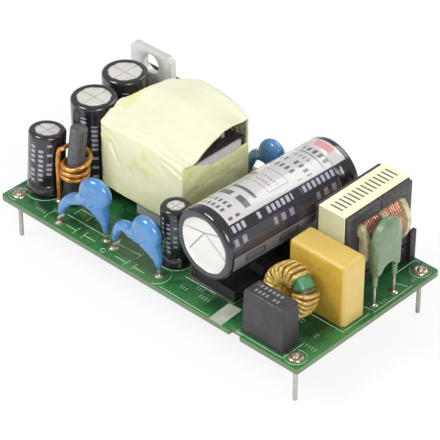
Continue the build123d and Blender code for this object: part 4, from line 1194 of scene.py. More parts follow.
class NodeTree(Graph):
    """A geometry node group with named inputs, made once and used by many pieces."""

    def __init__(self, name: str, inputs: Sequence[tuple[str, str]]) -> None:
        """Starts the group.

        Args:
            name: Name of the group.
            inputs: (name, socket type) pairs after the geometry.
        """
        super().__init__(bpy.data.node_groups.new(name, "GeometryNodeTree"), "GeometryNode")
        face = self.tree.interface
        face.new_socket("Geometry", in_out="INPUT", socket_type="NodeSocketGeometry")
        face.new_socket("Geometry", in_out="OUTPUT", socket_type="NodeSocketGeometry")
        self.keys = {}
        for label, kind in inputs:
            made = face.new_socket(label, in_out="INPUT", socket_type="NodeSocket" + kind)
            self.keys[label] = made.identifier
        self.start = self.tree.nodes.new("NodeGroupInput")
        self.end = self.tree.nodes.new("NodeGroupOutput")

    def close(self, geometry: Socket) -> None:
        """Ends the tree with real geometry in its finish.

        Args:
            geometry: What the tree has made.
        """
        smooth = self.add("SetShadeSmooth", {"Geometry": geometry})
        real = self.add("RealizeInstances", {"Geometry": smooth.outputs[0]})
        painted = self.add("SetMaterial", {"Geometry": real.outputs[0],
                                                       "Material": self.start.outputs["Finish"]})
        self.feed(self.end.inputs[0], painted.outputs[0])

    def grow(self, seed: Piece, values: dict) -> Piece:
        """Runs the tree on an object and returns the plain result.

        Args:
            seed: Object with the points or edges to grow from.
            values: Value of each named input.

        Returns:
            The result as a plain mesh object with the seed's name.
        """
        modifier = seed.modifiers.new("grow", "NODES")
        modifier.node_group = self.tree
        for label, value in values.items():
            modifier[self.keys[label]] = value
        seed.update_tag()
        return baked(seed)


class WireTree(NodeTree):
    """Round wire along the edges of a mesh, thinner where its girth is."""

    def __init__(self) -> None:
        """Builds the tree."""
        super().__init__("wire", (("Radius", "Float"), ("Sides", "Int"), ("Finish", "Material")))
        line = self.add("MeshToCurve", {"Mesh": self.start.outputs[0]})
        ring = self.add("CurvePrimitiveCircle",
                        {"Resolution": self.start.outputs["Sides"],
                         "Radius": self.start.outputs["Radius"]})
        girth = self.add("InputNamedAttribute", {"Name": GIRTH_NAME},
                         data_type="FLOAT")
        tube = self.add("CurveToMesh",
                        {"Curve": line.outputs[0], "Profile Curve": ring.outputs[0],
                         "Scale": girth.outputs[0], "Fill Caps": True})
        self.close(tube.outputs[0])


class InkTree(NodeTree):
    """Thin flat line of ink along the edges of a flat mesh."""

    def __init__(self) -> None:
        """Builds the tree."""
        super().__init__("ink", (("Width", "Float"), ("Height", "Float"),
                                 ("Finish", "Material")))
        line = self.add("MeshToCurve", {"Mesh": self.start.outputs[0]})
        level = self.add("SetCurveNormal", {"Curve": line.outputs[0]},
                         mode="Z_UP")
        face = self.add("CurvePrimitiveQuadrilateral",
                        {"Width": self.start.outputs["Height"],
                         "Height": self.start.outputs["Width"]})
        tube = self.add("CurveToMesh",
                        {"Curve": level.outputs[0], "Profile Curve": face.outputs[0],
                         "Fill Caps": True})
        self.close(tube.outputs[0])


class ScatterTree(NodeTree):
    """A small shape set on every point, turned and sized by the seed's attributes."""

    def __init__(self) -> None:
        """Builds the tree."""
        super().__init__("scatter", (("Shape", "Object"), ("Finish", "Material")))
        info = self.add("ObjectInfo", {"Object": self.start.outputs["Shape"]},
                        transform_space="ORIGINAL")
        turn = self.add("InputNamedAttribute", {"Name": "turn"},
                        data_type="FLOAT_VECTOR")
        size = self.add("InputNamedAttribute", {"Name": "size"},
                        data_type="FLOAT_VECTOR")
        spots = self.add("MeshToPoints", {"Mesh": self.start.outputs[0]})
        copies = self.add("InstanceOnPoints",
                          {"Points": spots.outputs[0], "Instance": info.outputs["Geometry"],
                           "Rotation": turn.outputs[0], "Scale": size.outputs[0]})
        self.close(copies.outputs[0])


class Workshop:
    """The three trees and the pieces that are grown with them."""

    def __init__(self) -> None:
        """Builds the trees."""
        self.wire, self.ink, self.scatter = WireTree(), InkTree(), ScatterTree()

    def lines(self, name: str, runs: Sequence[Run], closed: bool = False,
              girths: Sequence[Sequence[float]] | None = None) -> Piece:
        """Object whose edges follow runs of points.

        Args:
            name: Name of the object.
            runs: Points of each run in board millimetres.
            closed: Whether each run joins its own start.
            girths: Thickness of each run's points, as a share of the full one.

        Returns:
            The object.
        """
        points, edges, thick = [], [], []
        for number, run in enumerate(runs):
            first = len(points)
            points += [TO_FRAME @ Vector(p) for p in run]
            edges += [(i, i + 1) for i in range(first, len(points) - 1)]
            if closed:
                edges.append((len(points) - 1, first))
            thick += list(girths[number]) if girths else [1.0] * len(run)
        mesh = bpy.data.meshes.new(name)
        mesh.from_pydata(points, edges, [])
        mesh.attributes.new(GIRTH_NAME, "FLOAT", "POINT").data.foreach_set("value", thick)
        return to_object(name, mesh)

    def drawn(self, name: str, runs: Sequence[Run], radius: float, finish: Finish,
              sides: int = 12, closed: bool = False,
              girths: Sequence[Sequence[float]] | None = None) -> Piece:
        """Wire along runs of points.

        Args:
            name: Name of the piece.
            runs: Points of each run in board millimetres.
            radius: Radius of the wire in millimetres.
            finish: Finish of the wire.
            sides: Number of faces round the wire.
            closed: Whether each run joins its own start.
            girths: Thickness of each run's points, as a share of the full one.

        Returns:
            The wire as a plain mesh.
        """
        seed = self.lines(name, runs, closed, girths)
        return self.wire.grow(seed, {"Radius": radius * MM, "Sides": sides,
                                     "Finish": finish.build()})

    def inked(self, name: str, runs: Sequence[Run], width: float, height: float,
              finish: Finish) -> Piece:
        """Flat lines of ink along runs of points.

        Args:
            name: Name of the piece.
            runs: Points of each run in board millimetres.
            width: Width of a line in millimetres.
            height: Thickness of the ink.
            finish: Finish of the ink.

        Returns:
            The ink as a plain mesh.
        """
        seed = self.lines(name, runs)
        return self.ink.grow(seed, {"Width": width * MM, "Height": height * MM,
                                    "Finish": finish.build()})

    def scattered(self, name: str, spots: Sequence[Point], turns: Sequence[Point],
                  sizes: Sequence[Point], shape: Piece,
                  finish: Finish) -> Piece:
        """Copies of a small shape on spots; the shape itself is then removed.

        Args:
            name: Name of the piece.
            spots: Places of the copies in board millimetres.
            turns: Turn of each copy about x, y and z.
            sizes: Scale of each copy.
            shape: Shape to copy.
            finish: Finish of the copies.

        Returns:
            The copies as one plain mesh.
        """
        mesh = bpy.data.meshes.new(name)
        mesh.from_pydata([TO_FRAME @ Vector(p) for p in spots], [], [])
        for label, values in (("turn", turns), ("size", sizes)):
            data = mesh.attributes.new(label, "FLOAT_VECTOR", "POINT").data
            data.foreach_set("vector", np.array(values, float).ravel())
        seed = to_object(name, mesh)
        piece = self.scatter.grow(seed, {"Shape": shape, "Finish": finish.build()})
        bpy.data.objects.remove(shape)
        return piece


# Sub-assemblies

@dataclass
class Studio:
    """Camera, lamps, pale floor and white world."""

    eye: Point = (0.216976, -0.228417, 0.242677)
    right: Point = (0.72682, 0.68683, 0.0)
    upward: Point = (-0.40635, 0.43, 0.80621)
    backward: Point = (0.55373, -0.58597, 0.59163)
    lens: float = 186.2
    ambient: float = 0.5
    clip: Spot = (0.01, 10.0)
    sensor: float = 36.0
    aim: Point = (0, 0, 0.012)
    sky: Colour = (0.96, 0.98, 1.0, 1.0)
    floor_reach: float = 3.0
    floor_shade: float = 0.86
    floor_shine: float = 0.86
    floor_rough: float = 0.9
    lamps: tuple = (("key", (-0.24, -0.4, 0.56), 0.3, 3.3),
                    ("fill", (0.5, -0.2, 0.34), 0.3, 2.2),
                    ("back", (0.05, 0.5, 0.45), 0.4, 1.2))

    def camera(self) -> None:
        """Puts the camera where the photograph was taken."""
        data = bpy.data.cameras.new("camera")
        data.lens, data.sensor_width = self.lens, self.sensor
        data.clip_start, data.clip_end = self.clip
        made = bpy.data.objects.new("camera", data)
        bpy.context.scene.collection.objects.link(made)
        axes = Matrix((self.right, self.upward, self.backward)).transposed()
        made.matrix_world = Matrix.Translation(self.eye) @ axes.to_4x4()
        bpy.context.scene.camera = made

    def lights(self) -> None:
        """Soft lamps round the board, aimed at its middle."""
        for name, place, size, power in self.lamps:
            data = bpy.data.lights.new(name, "AREA")
            data.shape, data.size, data.energy = "DISK", size, power
            made = bpy.data.objects.new(name, data)
            bpy.context.scene.collection.objects.link(made)
            made.location = place
            made.rotation_mode = "QUATERNION"
            aim = Vector(self.aim) - Vector(place)
            made.rotation_quaternion = aim.to_track_quat("-Z", "Y")

    def world(self) -> None:
        """White for the camera and in reflections, and a plain level of light."""
        world = bpy.data.worlds.new("white_room")
        world.use_nodes = True
        world.node_tree.nodes.clear()
        graph = Graph(world.node_tree, "ShaderNode")
        soft = graph.add("Background", {0: self.sky, 1: self.ambient})
        white = graph.add("Background", {0: (1, 1, 1, 1)})
        mix = graph.add("MixShader", {0: graph.seen(), 1: soft.outputs[0],
                                      2: white.outputs[0]})
        graph.add("OutputWorld", {0: mix.outputs[0]})
        bpy.context.scene.world = world

    def floor(self) -> None:
        """Wide pale floor that keeps a faint shadow."""
        mesh = bpy.data.meshes.new("floor")
        reach, shade = self.floor_reach, self.floor_shade
        mesh.from_pydata([(-reach, -reach, 0), (reach, -reach, 0), (reach, reach, 0),
                          (-reach, reach, 0)], [], [(0, 1, 2, 3)])
        made = to_object("floor", mesh)
        sheet = Sheet("floor_white")
        sheet.feed(sheet.shader.inputs["Base Color"], (shade, shade, shade, 1))
        sheet.feed(sheet.shader.inputs["Roughness"], self.floor_rough)
        shine = sheet.add("Emission", {0: (1, 1, 1, 1)})
        share = sheet.math("MULTIPLY", sheet.seen(), self.floor_shine)
        mix = sheet.add("MixShader", {0: share, 1: sheet.shader.outputs[0],
                                      2: shine.outputs[0]})
        sheet.feed(sheet.out.inputs["Surface"], mix.outputs[0])
        mesh.materials.append(sheet.material)

    def build(self) -> None:
        """Sets the whole stage."""
        bpy.context.scene.view_settings.view_transform = "Standard"
        self.camera()
        self.lights()
        self.world()
        self.floor()
        log.info("studio")


@dataclass
class Assembly:
    """A part of the supply, with the trees and the CAD nodes that it is built from."""

    shop: Workshop
    nodes: Nodes

    def dress(self, finish: Finish, *names: str) -> None:
        """Gives CAD nodes that keep their own mesh a finish.

        Args:
            finish: The finish.
            *names: Nodes that get it.
        """
        for name in names:
            mesh = self.nodes[name].data
            if mesh.materials:
                for index in range(len(mesh.materials)):
                    mesh.materials[index] = finish.build()
            else:
                mesh.materials.append(finish.build())
            log.info("%s keeps its solid", name)

    def round_off(self, node: str, name: str, width: float, finish: Finish, slot: Slot,
                  segments: int = 3) -> None:
        """Makes a piece from a solid by rounding its edges.

        Args:
            node: CAD node of the solid.
            name: Name of the piece.
            width: Width of the rounding in millimetres.
            finish: Its finish.
            slot: Slot, passed on to settle.
            segments: Number of faces across the rounding.
        """
        settle(eased(self.nodes[node], name, width, segments), finish, slot, node)


@dataclass
class CircuitBoard(Assembly):
    """Board, its pins, its solder and its printed lines.

    fillet, dome and bead are (radius, height) profiles of the solder under the
    board, round the pins and at the leads on top.
    """

    pin_radius: float = 0.4
    pin_point: float = 0.5
    ink_width: float = 0.16
    ink_height: float = 0.03
    ink_lift: float = 0.012
    dash_step: float = 0.62
    dash: float = 0.75
    mark_radius: float = 1.85
    swell: float = 0.22
    segments: int = 20
    dome_segments: int = 36
    bead_segments: int = 18
    fillet: tuple = ((0, 0), (0.98, 0), (0.96, 0.06), (0.8, 0.14), (0.62, 0.27), (0.48, 0.45),
                     (0.4, 0.62), (0.33, 0.74), (0.2, 0.78), (0, 0.78))
    dome: tuple = ((0, 0), (1.38, 0), (1.36, 0.1), (1.2, 0.26), (0.98, 0.36), (0.78, 0.34),
                   (0.6, 0.3), (0.52, 0.36), (0.46, 0.55), (0.4, 0.7), (0, 0.72))
    bead: tuple = ((0, 0), (0.86, 0), (0.84, 0.05), (0.66, 0.12), (0.5, 0.22), (0.4, 0.36),
                   (0.34, 0.48), (0, 0.5))
    bead_places: tuple = ((13.406, 1.4), (23.176, 3.335), (25.576, 2.6), (36.675, 2.445),
                          (8.756, 5.972), (68.0, 21.18), (68.0, 26.18), (29.441, 31.9),
                          (39.441, 31.9))

    def pins(self) -> None:
        """Round pins with eased points."""
        r, tip = self.pin_radius, -PIN_DROP - BOARD_THICKNESS
        low = [(0, tip), (r * 0.45, tip), (r * 0.8, tip + 0.12), (r, tip + self.pin_point),
               (r, 0.35), (r * 0.8, 0.62), (r * 0.35, 0.74), (0, 0.76)]
        pieces = [turned(f"pin_{index}", low, self.segments,
                         Matrix.Translation((*box_middle(box), 0)))
                  for index, box in enumerate(islands(self.nodes["board_pins"]))]
        settle(joined("board_pin_set", pieces), PIN_TIN, Slot.PIN, "board_pins")

    def ring(self, index: int, spot: Spot) -> Piece:
        """Solder that has flowed round a pin.

        Args:
            index: Number of the pin.
            spot: Its place on the board.

        Returns:
            The solder.
        """
        def flowed(places: np.ndarray) -> np.ndarray:
            """Makes the height of the solder uneven.

            Args:
                places: The points.

            Returns:
                The moved points.
            """
            out = places.copy()
            for row in out:
                lump = noise.noise(Vector((row[0] * 1.1, row[1] * 1.1, index * 7.0)))
                row[2] *= 1.0 + self.swell * lump
            return out

        return turned(f"dome_{index}", self.dome, self.dome_segments,
                      Matrix.Translation((*spot, 0)), shape=flowed)

    def solder(self) -> None:
        """Concave fillets under the leads and rings round the pins."""
        spots, turns, sizes, rings = [], [], [], []
        for index, box in enumerate(islands(self.nodes["solder_joints"])):
            x, y = box_middle(box)
            if box[1][2] > 0:
                rings.append((x, y))
                continue
            swell = 0.94 + 0.06 * math.sin(index * 12.9)
            spots.append((x, y, -BOARD_THICKNESS + 0.01))
            turns.append((math.pi, 0.0, index * 1.7))
            sizes.append((swell, swell, 0.92 + 0.08 * math.cos(index * 7.3)))
        shape = seed_shape("fillet_shape", self.fillet, self.segments)
        under = self.shop.scattered("solder_fillets", spots, turns, sizes, shape, SOLDER_METAL)
        domes = [self.ring(index, spot) for index, spot in enumerate(rings)]
        settle(joined("solder_set", [under, *domes]), SOLDER_METAL, Slot.SOLDER,
               "solder_joints")

    def beads(self) -> None:
        """Small beads where leads are wetted on the top face."""
        spots = [(x, y, 0.005) for x, y in self.bead_places]
        turns = [(0, 0, i * 1.3) for i in range(len(spots))]
        sizes = [(0.95 + 0.12 * math.sin(i * 5), 0.95 + 0.12 * math.cos(i * 3), 0.9)
                 for i in range(len(spots))]
        shape = seed_shape("bead_shape", self.bead, self.bead_segments)
        settle(self.shop.scattered("solder_beads", spots, turns, sizes, shape, SOLDER_METAL),
               SOLDER_METAL, Slot.SOLDER)

    def marks(self) -> list[list[Point]]:
        """Printed outlines of the parts, in board millimetres.

        Returns:
            The points of each line.
        """
        runs = [arc((13.4, 1.9), 3.1, 150, 211), [(12.8, 3.95), (21.9, 4.05)],
                [(14.9, 1.7), (17.35, 1.75)], [(17.4, 2.75), (17.45, 0.75)],
                [(19.3, 2.75), (19.4, 0.75)], [(19.35, 1.7), (22.0, 1.8)],
                [(13.6, 4.7), (13.6, 6.7), (16.7, 6.6), (16.6, 4.8)],
                arc((23.2, 4.9), 0.5, 0, 360, 20), arc((24.8, 0.9), 0.5, 0, 360, 20),
                [(25.0, 3.9), (30.6, 4.35)], [(30.5, 5.2), (30.7, 3.4)],
                [(27.4, 1.2), (30.2, 1.2)], [(30.2, 0.4), (30.25, 2.1)],
                [(31.8, 0.4), (31.85, 2.1)], [(31.85, 1.2), (34.4, 1.2)],
                arc((36.1, 2.4), 2.6, -62, 70), [(38.7, 0.45), (50.3, 0.35)],
                [(40.1, 5.35), (50.6, 5.45)],
                arc((4.45, 6.75), 3.7, 175, 395), arc((35.79, 7.65), 3.05, 180, 380),
                [(56.3, 6.0), (56.3, 0.62), (66.3, 0.62), (66.3, 5.9)],
                [(55.7, 12.3), (69.0, 12.3), (69.0, 19.0)], [(69.35, 19.8), (69.35, 29.6)],
                [(65.2, 30.4), (65.2, 35.4), (66.3, 35.4)], [(66.9, 19.6), (69.0, 20.1)],
                [(66.6, 28.0), (69.0, 28.9)], [(1.0, 14.0), (2.9, 12.2)],
                [(12.4, 10.4), (13.4, 8.2)]]
        for x, y in ((2.3, 2.3), (67.7, 2.3), (67.7, 33.68), (2.3, 33.68)):
            start, end = (20, 300) if x < BOARD_LENGTH / 2 else (-160, 120)
            runs.append(arc((x, y), self.mark_radius, start, end, 48))
        for x, y, count, upright in (
                (7.6, 1.3, 4, False), (10.2, 3.0, 3, False), (41.4, 2.6, 3, False),
                (43.7, 4.2, 3, False), (66.9, 5.4, 4, False), (45.6, 2.9, 4, False),
                (62.6, 9.7, 2, True), (69.0, 22.4, 3, True), (68.9, 30.6, 3, True),
                (66.9, 8.3, 2, True), (17.6, 5.9, 3, False)):
            for step in range(count):
                gap = step * self.dash_step
                ox, oy = (0, gap) if upright else (gap, 0)
                dx, dy = (-self.dash, 0) if upright else (0, self.dash)
                runs.append([(x + ox, y + oy), (x + ox + dx, y + oy + dy)])
        return [[(x, y, self.ink_lift) for x, y in run] for run in runs]

    def build(self) -> None:
        """Dresses the board and everything that is part of it."""
        self.dress(BOARD_MASK, "circuit_board")
        self.pins()
        self.solder()
        self.beads()
        ink = self.shop.inked("silk_lines", self.marks(), self.ink_width, self.ink_height, SILK)
        settle(ink, SILK, Slot.BOARD)


@dataclass
class UprightCapacitor(Assembly):
    """Standing can in a shrunk black sleeve."""

    node: str
    centre: Spot
    radius: float
    height: float
    lean: float = 0.0
    columns: int = 3
    facing: float = -52.0
    wall: float = 0.2
    lip: float = 0.95
    shoulder: float = 0.62
    groove: float = 2.0
    sides: int = 96
    top_steps: int = 26
    score_width: float = 0.09
    score_depth: float = 0.07
    scores: tuple = ((-2.0, 0.0, 2.0, 0.0), (0.0, -2.0, 0.0, 2.0))

    def place(self) -> Matrix:
        """Matrix from the can's own millimetres to the board's.

        Returns:
            The matrix.
        """
        rise = self.radius * math.sin(math.radians(self.lean))
        return (Matrix.Translation((*self.centre, rise))
                @ Matrix.Rotation(math.radians(-self.lean), 4, "X"))

    def sleeve(self) -> Piece:
        """Sleeve with a rounded shoulder and a wavy rim.

        Returns:
            The piece.
        """
        r, h, wall, shoulder, g = (self.radius, self.height, self.wall, self.shoulder,
                                   self.groove)
        profile = [(r - wall, 0.12), (r, 0.12), (r, g - 0.3), (r - 0.22, g), (r, g + 0.3),
                   (r, h * 0.5), (r, h - shoulder)]
        for step in range(1, 7):
            angle = math.pi / 2 * step / 6
            profile.append((r - shoulder + shoulder * math.cos(angle),
                            h - shoulder + shoulder * math.sin(angle)))
        rim = r - wall - self.lip
        profile += [(rim + 0.12, h), (rim, h - 0.04), (rim, h - wall),
                    (r - wall - shoulder, h - wall), (r - wall - 0.1, h - shoulder - 0.05),
                    (r - wall, h * 0.5)]
        seed = self.centre[0] * 3.1

        def wavy(places: np.ndarray) -> np.ndarray:
            """Moves the rim in and out, as shrunk film does.

            Args:
                places: The points.

            Returns:
                The moved points.
            """
            out = places.copy()
            reach = np.hypot(out[:, 0], out[:, 1])
            angle = np.arctan2(out[:, 1], out[:, 0])
            near = np.clip((rim + 0.35 - reach) / 0.35, 0, 1) * (out[:, 2] > h - 0.5)
            ripple = 0.05 * np.sin(angle * 7 + seed) + 0.04 * np.sin(angle * 13 + seed * 2)
            scale = 1 + near * ripple / np.maximum(reach, 0.1)
            out[:, :2] *= scale[:, None]
            dent = np.where((out[:, 2] > h * 0.2) & (reach > r - 0.05),
                            0.012 * np.sin(angle * 5 + out[:, 2] * 0.9 + seed), 0)
            out[:, :2] *= (1 - np.abs(dent) / r)[:, None]
            return out

        return turned(self.node + "_sleeve_film", profile, self.sides, self.place(),
                      closed=True, shape=wavy)

    def can(self) -> Piece:
        """Drawn can whose top is scored.

        Returns:
            The piece.
        """
        r, top, g = self.radius - self.wall, self.height - self.wall, self.groove
        profile = [(0, 0), (r - 0.3, 0), (r, 0.3), (r, g - 0.35), (r - 0.3, g), (r, g + 0.35),
                   (r, top - 0.5), (r - 0.15, top - 0.14), (r - 0.45, top)]
        steps = self.top_steps
        profile += [((r - 0.6) * (1 - i / steps), top) for i in range(steps + 1)]
        reach = (r - 0.6) * 0.8
        lines = [tuple(v * reach / 2 for v in line) for line in self.scores]

        def depth(places: np.ndarray) -> np.ndarray:
            """Depth of the score at each point."""
            return near_lines(places, lines, self.score_width) * (places[:, 2] > top - 0.01)

        def pressed(places: np.ndarray) -> np.ndarray:
            """Presses the score into the top.

            Args:
                places: The points.

            Returns:
                The moved points.
            """
            out = places.copy()
            out[:, 2] -= self.score_depth * depth(places)
            return out

        return turned(self.node + "_can_drawn", profile, self.sides, self.place(),
                      shape=pressed, score=depth)

    def build(self) -> None:
        """Makes the can and its sleeve."""
        finish = sleeve_finish(self.node + "_print", self.facing, self.height, self.columns)
        settle(self.sleeve(), finish, Slot.SLEEVE, self.node + "_sleeve")
        settle(self.can(), BARE_ALUMINIUM, Slot.CAN, self.node + "_can")


@dataclass
class BulkCapacitor(Assembly):
    """Lying capacitor with its printed sleeve and its vent to the front."""

    front: Point = (46.341, 3.4, 10.9)
    yaw: float = 2.6
    radius: float = 6.6
    length: float = 30.0
    wall: float = 0.2
    rim: float = 5.15
    groove: float = 26.6
    groove_depth: float = 0.6
    shoulder: float = 0.85
    face_steps: int = 52
    score_width: float = 0.1
    score_depth: float = 0.1
    score_share: float = 0.93
    vent_centre: Spot = (-0.15, 2.24)
    vent_ends: tuple = ((-4.69, 1.46), (3.93, 3.48), (-3.93, -2.94), (4.99, -1.12))

    def place(self) -> Matrix:
        """Matrix with the axis along z, x to the top and y to the right.

        Returns:
            The matrix.
        """
        turn = Matrix.Rotation(math.radians(-self.yaw), 4, "Z")
        axes = Matrix(((0, 1, 0, 0), (0, 0, 1, 0), (1, 0, 0, 0), (0, 0, 0, 1)))
        return Matrix.Translation(self.front) @ turn @ axes

    def sleeve(self) -> Piece:
        """Film that laps over the front shoulder and follows the groove.

        Returns:
            The piece.
        """
        r, wall, g, d = self.radius, self.wall, self.groove, self.groove_depth
        inside, s = r - wall, self.shoulder
        profile = [(inside, 1.0), (inside - 0.3, 0.35), (inside - 0.75, 0.02), (self.rim, 0.02),
                   (self.rim, -0.15), (self.rim + 0.12, -0.19), (r - s, -0.19)]
        for step in range(1, 8):
            angle = math.pi / 2 * step / 7
            profile.append((r - s + s * math.sin(angle), 0.66 - s * math.cos(angle)))
        profile += [(r, 8.0), (r, g - 0.95), (r - 0.12, g - 0.6), (r - d * 0.75, g - 0.25),
                    (r - d, g), (r - d * 0.75, g + 0.25), (r - 0.12, g + 0.6), (r, g + 0.95),
                    (r, self.length - 0.25), (r - 0.1, self.length), (inside, self.length),
                    (inside, g + 0.9), (inside - d, g), (inside, g - 0.9), (inside, 12.0)]

        def wavy(places: np.ndarray) -> np.ndarray:
            """Uneven rim and a light pucker at the shoulder.

            Args:
                places: The points.

            Returns:
                The moved points.
            """
            out = places.copy()
            reach = np.hypot(out[:, 0], out[:, 1])
            angle = np.arctan2(out[:, 1], out[:, 0])
            near = np.clip((self.rim + 0.4 - reach) / 0.4, 0, 1) * (out[:, 2] < 0.3)
            ripple = 0.05 * np.sin(angle * 5 + 1) + 0.03 * np.sin(angle * 11)
            out[:, :2] *= (1 + near * ripple / np.maximum(reach, 0.1))[:, None]
            shoulder = np.exp(-((out[:, 2] - 0.25) / 0.3) ** 2) * (reach > 5.6)
            pucker = 0.035 * np.abs(np.sin(angle * 19)) * shoulder
            out[:, :2] *= (1 - pucker / np.maximum(reach, 0.1))[:, None]
            return out

        return turned("bulk_sleeve_film", profile, 160, self.place(), closed=True, shape=wavy)

    def can(self) -> Piece:
        """Can with a bright front disc in a bevelled ring, scored from off centre.

        Returns:
            The piece.
        """
        r, end, g, d = self.radius - self.wall, self.length - 1.4, self.groove, self.groove_depth
        profile = [(0, end), (r - 0.1, end), (r - 0.02, g + 0.8), (r - d - 0.02, g),
                   (r - 0.02, g - 0.8), (r - 0.02, 1.0), (r - 0.3, 0.3), (r - 0.8, 0.0),
                   (self.rim + 0.05, 0.0), (self.rim - 0.1, 0.02), (self.rim - 0.32, 0.2)]
        steps, face = self.face_steps, self.rim - 0.4
        profile += [(face * (1 - i / steps), 0.22) for i in range(steps + 1)]
        (cx, cz), share = self.vent_centre, self.score_share
        lines = [(cz, cx, cz + (z - cz) * share, cx + (x - cx) * share)
                 for x, z in self.vent_ends]

        def depth(places: np.ndarray) -> np.ndarray:
            """Depth of the score at each point."""
            return near_lines(places, lines, self.score_width) * (places[:, 2] < 0.25) * (
                np.hypot(places[:, 0], places[:, 1]) < face + 0.01)

        def pressed(places: np.ndarray) -> np.ndarray:
            """Presses the score into the disc.

            Args:
                places: The points.

            Returns:
                The moved points.
            """
            out = places.copy()
            out[:, 2] += self.score_depth * depth(places)
            return out

        return turned("bulk_can_drawn", profile, 192, self.place(), shape=pressed, score=depth)

    def build(self) -> None:
        """Makes the can and its film and dresses the bung and the leads."""
        settle(self.sleeve(), BULK_SLEEVE, Slot.BULK_SLEEVE, "bulk_capacitor_sleeve")
        settle(self.can(), BULK_END, Slot.BULK_CAN, "bulk_capacitor_can")
        self.dress(RUBBER, "bulk_capacitor_bung")
        self.dress(TIN, "bulk_capacitor_leads")


@dataclass
class SwitchTransistor(Assembly):
    """Flat transistor on its pad under the lying capacitor."""

    ease: float = 0.2

    def build(self) -> None:
        """Eases the body's edges and dresses the rest."""
        self.round_off("switch_transistor_body", "switch_case", self.ease, MOULDED, Slot.MOULDED)
        self.dress(PAD_SHEET, "switch_transistor_pad")
        self.dress(TIN, "switch_transistor_leads")


@dataclass
class RodChoke(Assembly):
    """Leaning ferrite rod in a tube, with three turns of thick wire."""

    base: Point = (10.656, 7.272, 0.315)
    lean: float = 6.5
    towards: float = 54.5
    rod_radius: float = 1.55
    length: float = 15.2
    tube_radius: float = 1.9
    tube_top: float = 5.0
    reach: float = 2.3
    wire_radius: float = 0.43
    pitch: float = 1.05
    first: float = 4.65
    outer_foot: Spot = (8.756, 5.972)
    sweep: int = 1294
    sweep_step: int = 6
    late_from: int = 1020
    late_rise: float = 1.75
    late_reach: float = 0.16

    def place(self) -> Matrix:
        """Matrix with z along the rod.

        Returns:
            The matrix.
        """
        return (Matrix.Translation(self.base)
                @ Matrix.Rotation(math.radians(self.towards), 4, "Z")
                @ Matrix.Rotation(math.radians(self.lean), 4, "Y"))

    def turn_point(self, direction: float, height: float, reach: float) -> Point:
        """Point round the rod, in a direction on the board in degrees.

        Args:
            direction: Direction in degrees.
            height: Height along the rod.
            reach: Distance from its axis.

        Returns:
            The point.
        """
        angle = math.radians(direction - self.towards)
        return tuple(self.place() @ Vector((reach * math.cos(angle), reach * math.sin(angle),
                                            height)))

    def coil(self) -> list[Point]:
        """The wire from its inner foot round the rod to its outer foot.

        Returns:
            Points of the wire.
        """
        inner = self.turn_point(0.0, self.first, self.reach)
        line = [(inner[0], inner[1], -1.0), (inner[0], inner[1], 2.0),
                (inner[0], inner[1], inner[2] - 0.6)]
        for direction in range(0, self.sweep, self.sweep_step):
            turns = direction / 360
            height = self.first + self.pitch * turns
            late = max(0.0, direction - self.late_from) / (self.sweep - self.late_from)
            height += self.late_rise * math.sin(min(1.0, late * 1.35) * math.pi / 2)
            reach = self.reach + self.late_reach * min(1.0, late * 2)
            line.append(self.turn_point(direction, height, reach))
        end = Vector(line[-1])
        foot = self.outer_foot
        drop = flowing([line[-1], (end.x - 0.72, end.y - 0.35, end.z - 0.55),
                        (foot[0] - 0.12, foot[1] + 0.1, end.z - 2.6),
                        (foot[0], foot[1], end.z - 5.0), (foot[0], foot[1], 2.0),
                        (foot[0], foot[1], -1.0)], 14)
        return line + drop[1:]

    def build(self) -> None:
        """Makes the rod, the tube and the wire."""
        r, end = self.rod_radius, self.length
        rod = turned("choke_rod", [(0, 0), (r, 0), (r, end - 0.28), (r - 0.08, end - 0.1),
                                   (r - 0.25, end), (0, end)], 48, self.place())
        settle(rod, ROD_FERRITE, Slot.FERRITE, "rod_choke_core")
        t, top = self.tube_radius, self.tube_top
        tube = turned("choke_tube", [(r, 0), (t, 0), (t, top - 0.12), (t - 0.1, top), (r, top)],
                      48, self.place(), closed=True)
        settle(tube, BLACK_PLASTIC, Slot.BLACK_BOBBIN, "rod_choke_tube")
        wire = self.shop.drawn("choke_coil", [self.coil()], self.wire_radius, COPPER, sides=16)
        settle(wire, COPPER, Slot.COPPER, "rod_choke_coil")


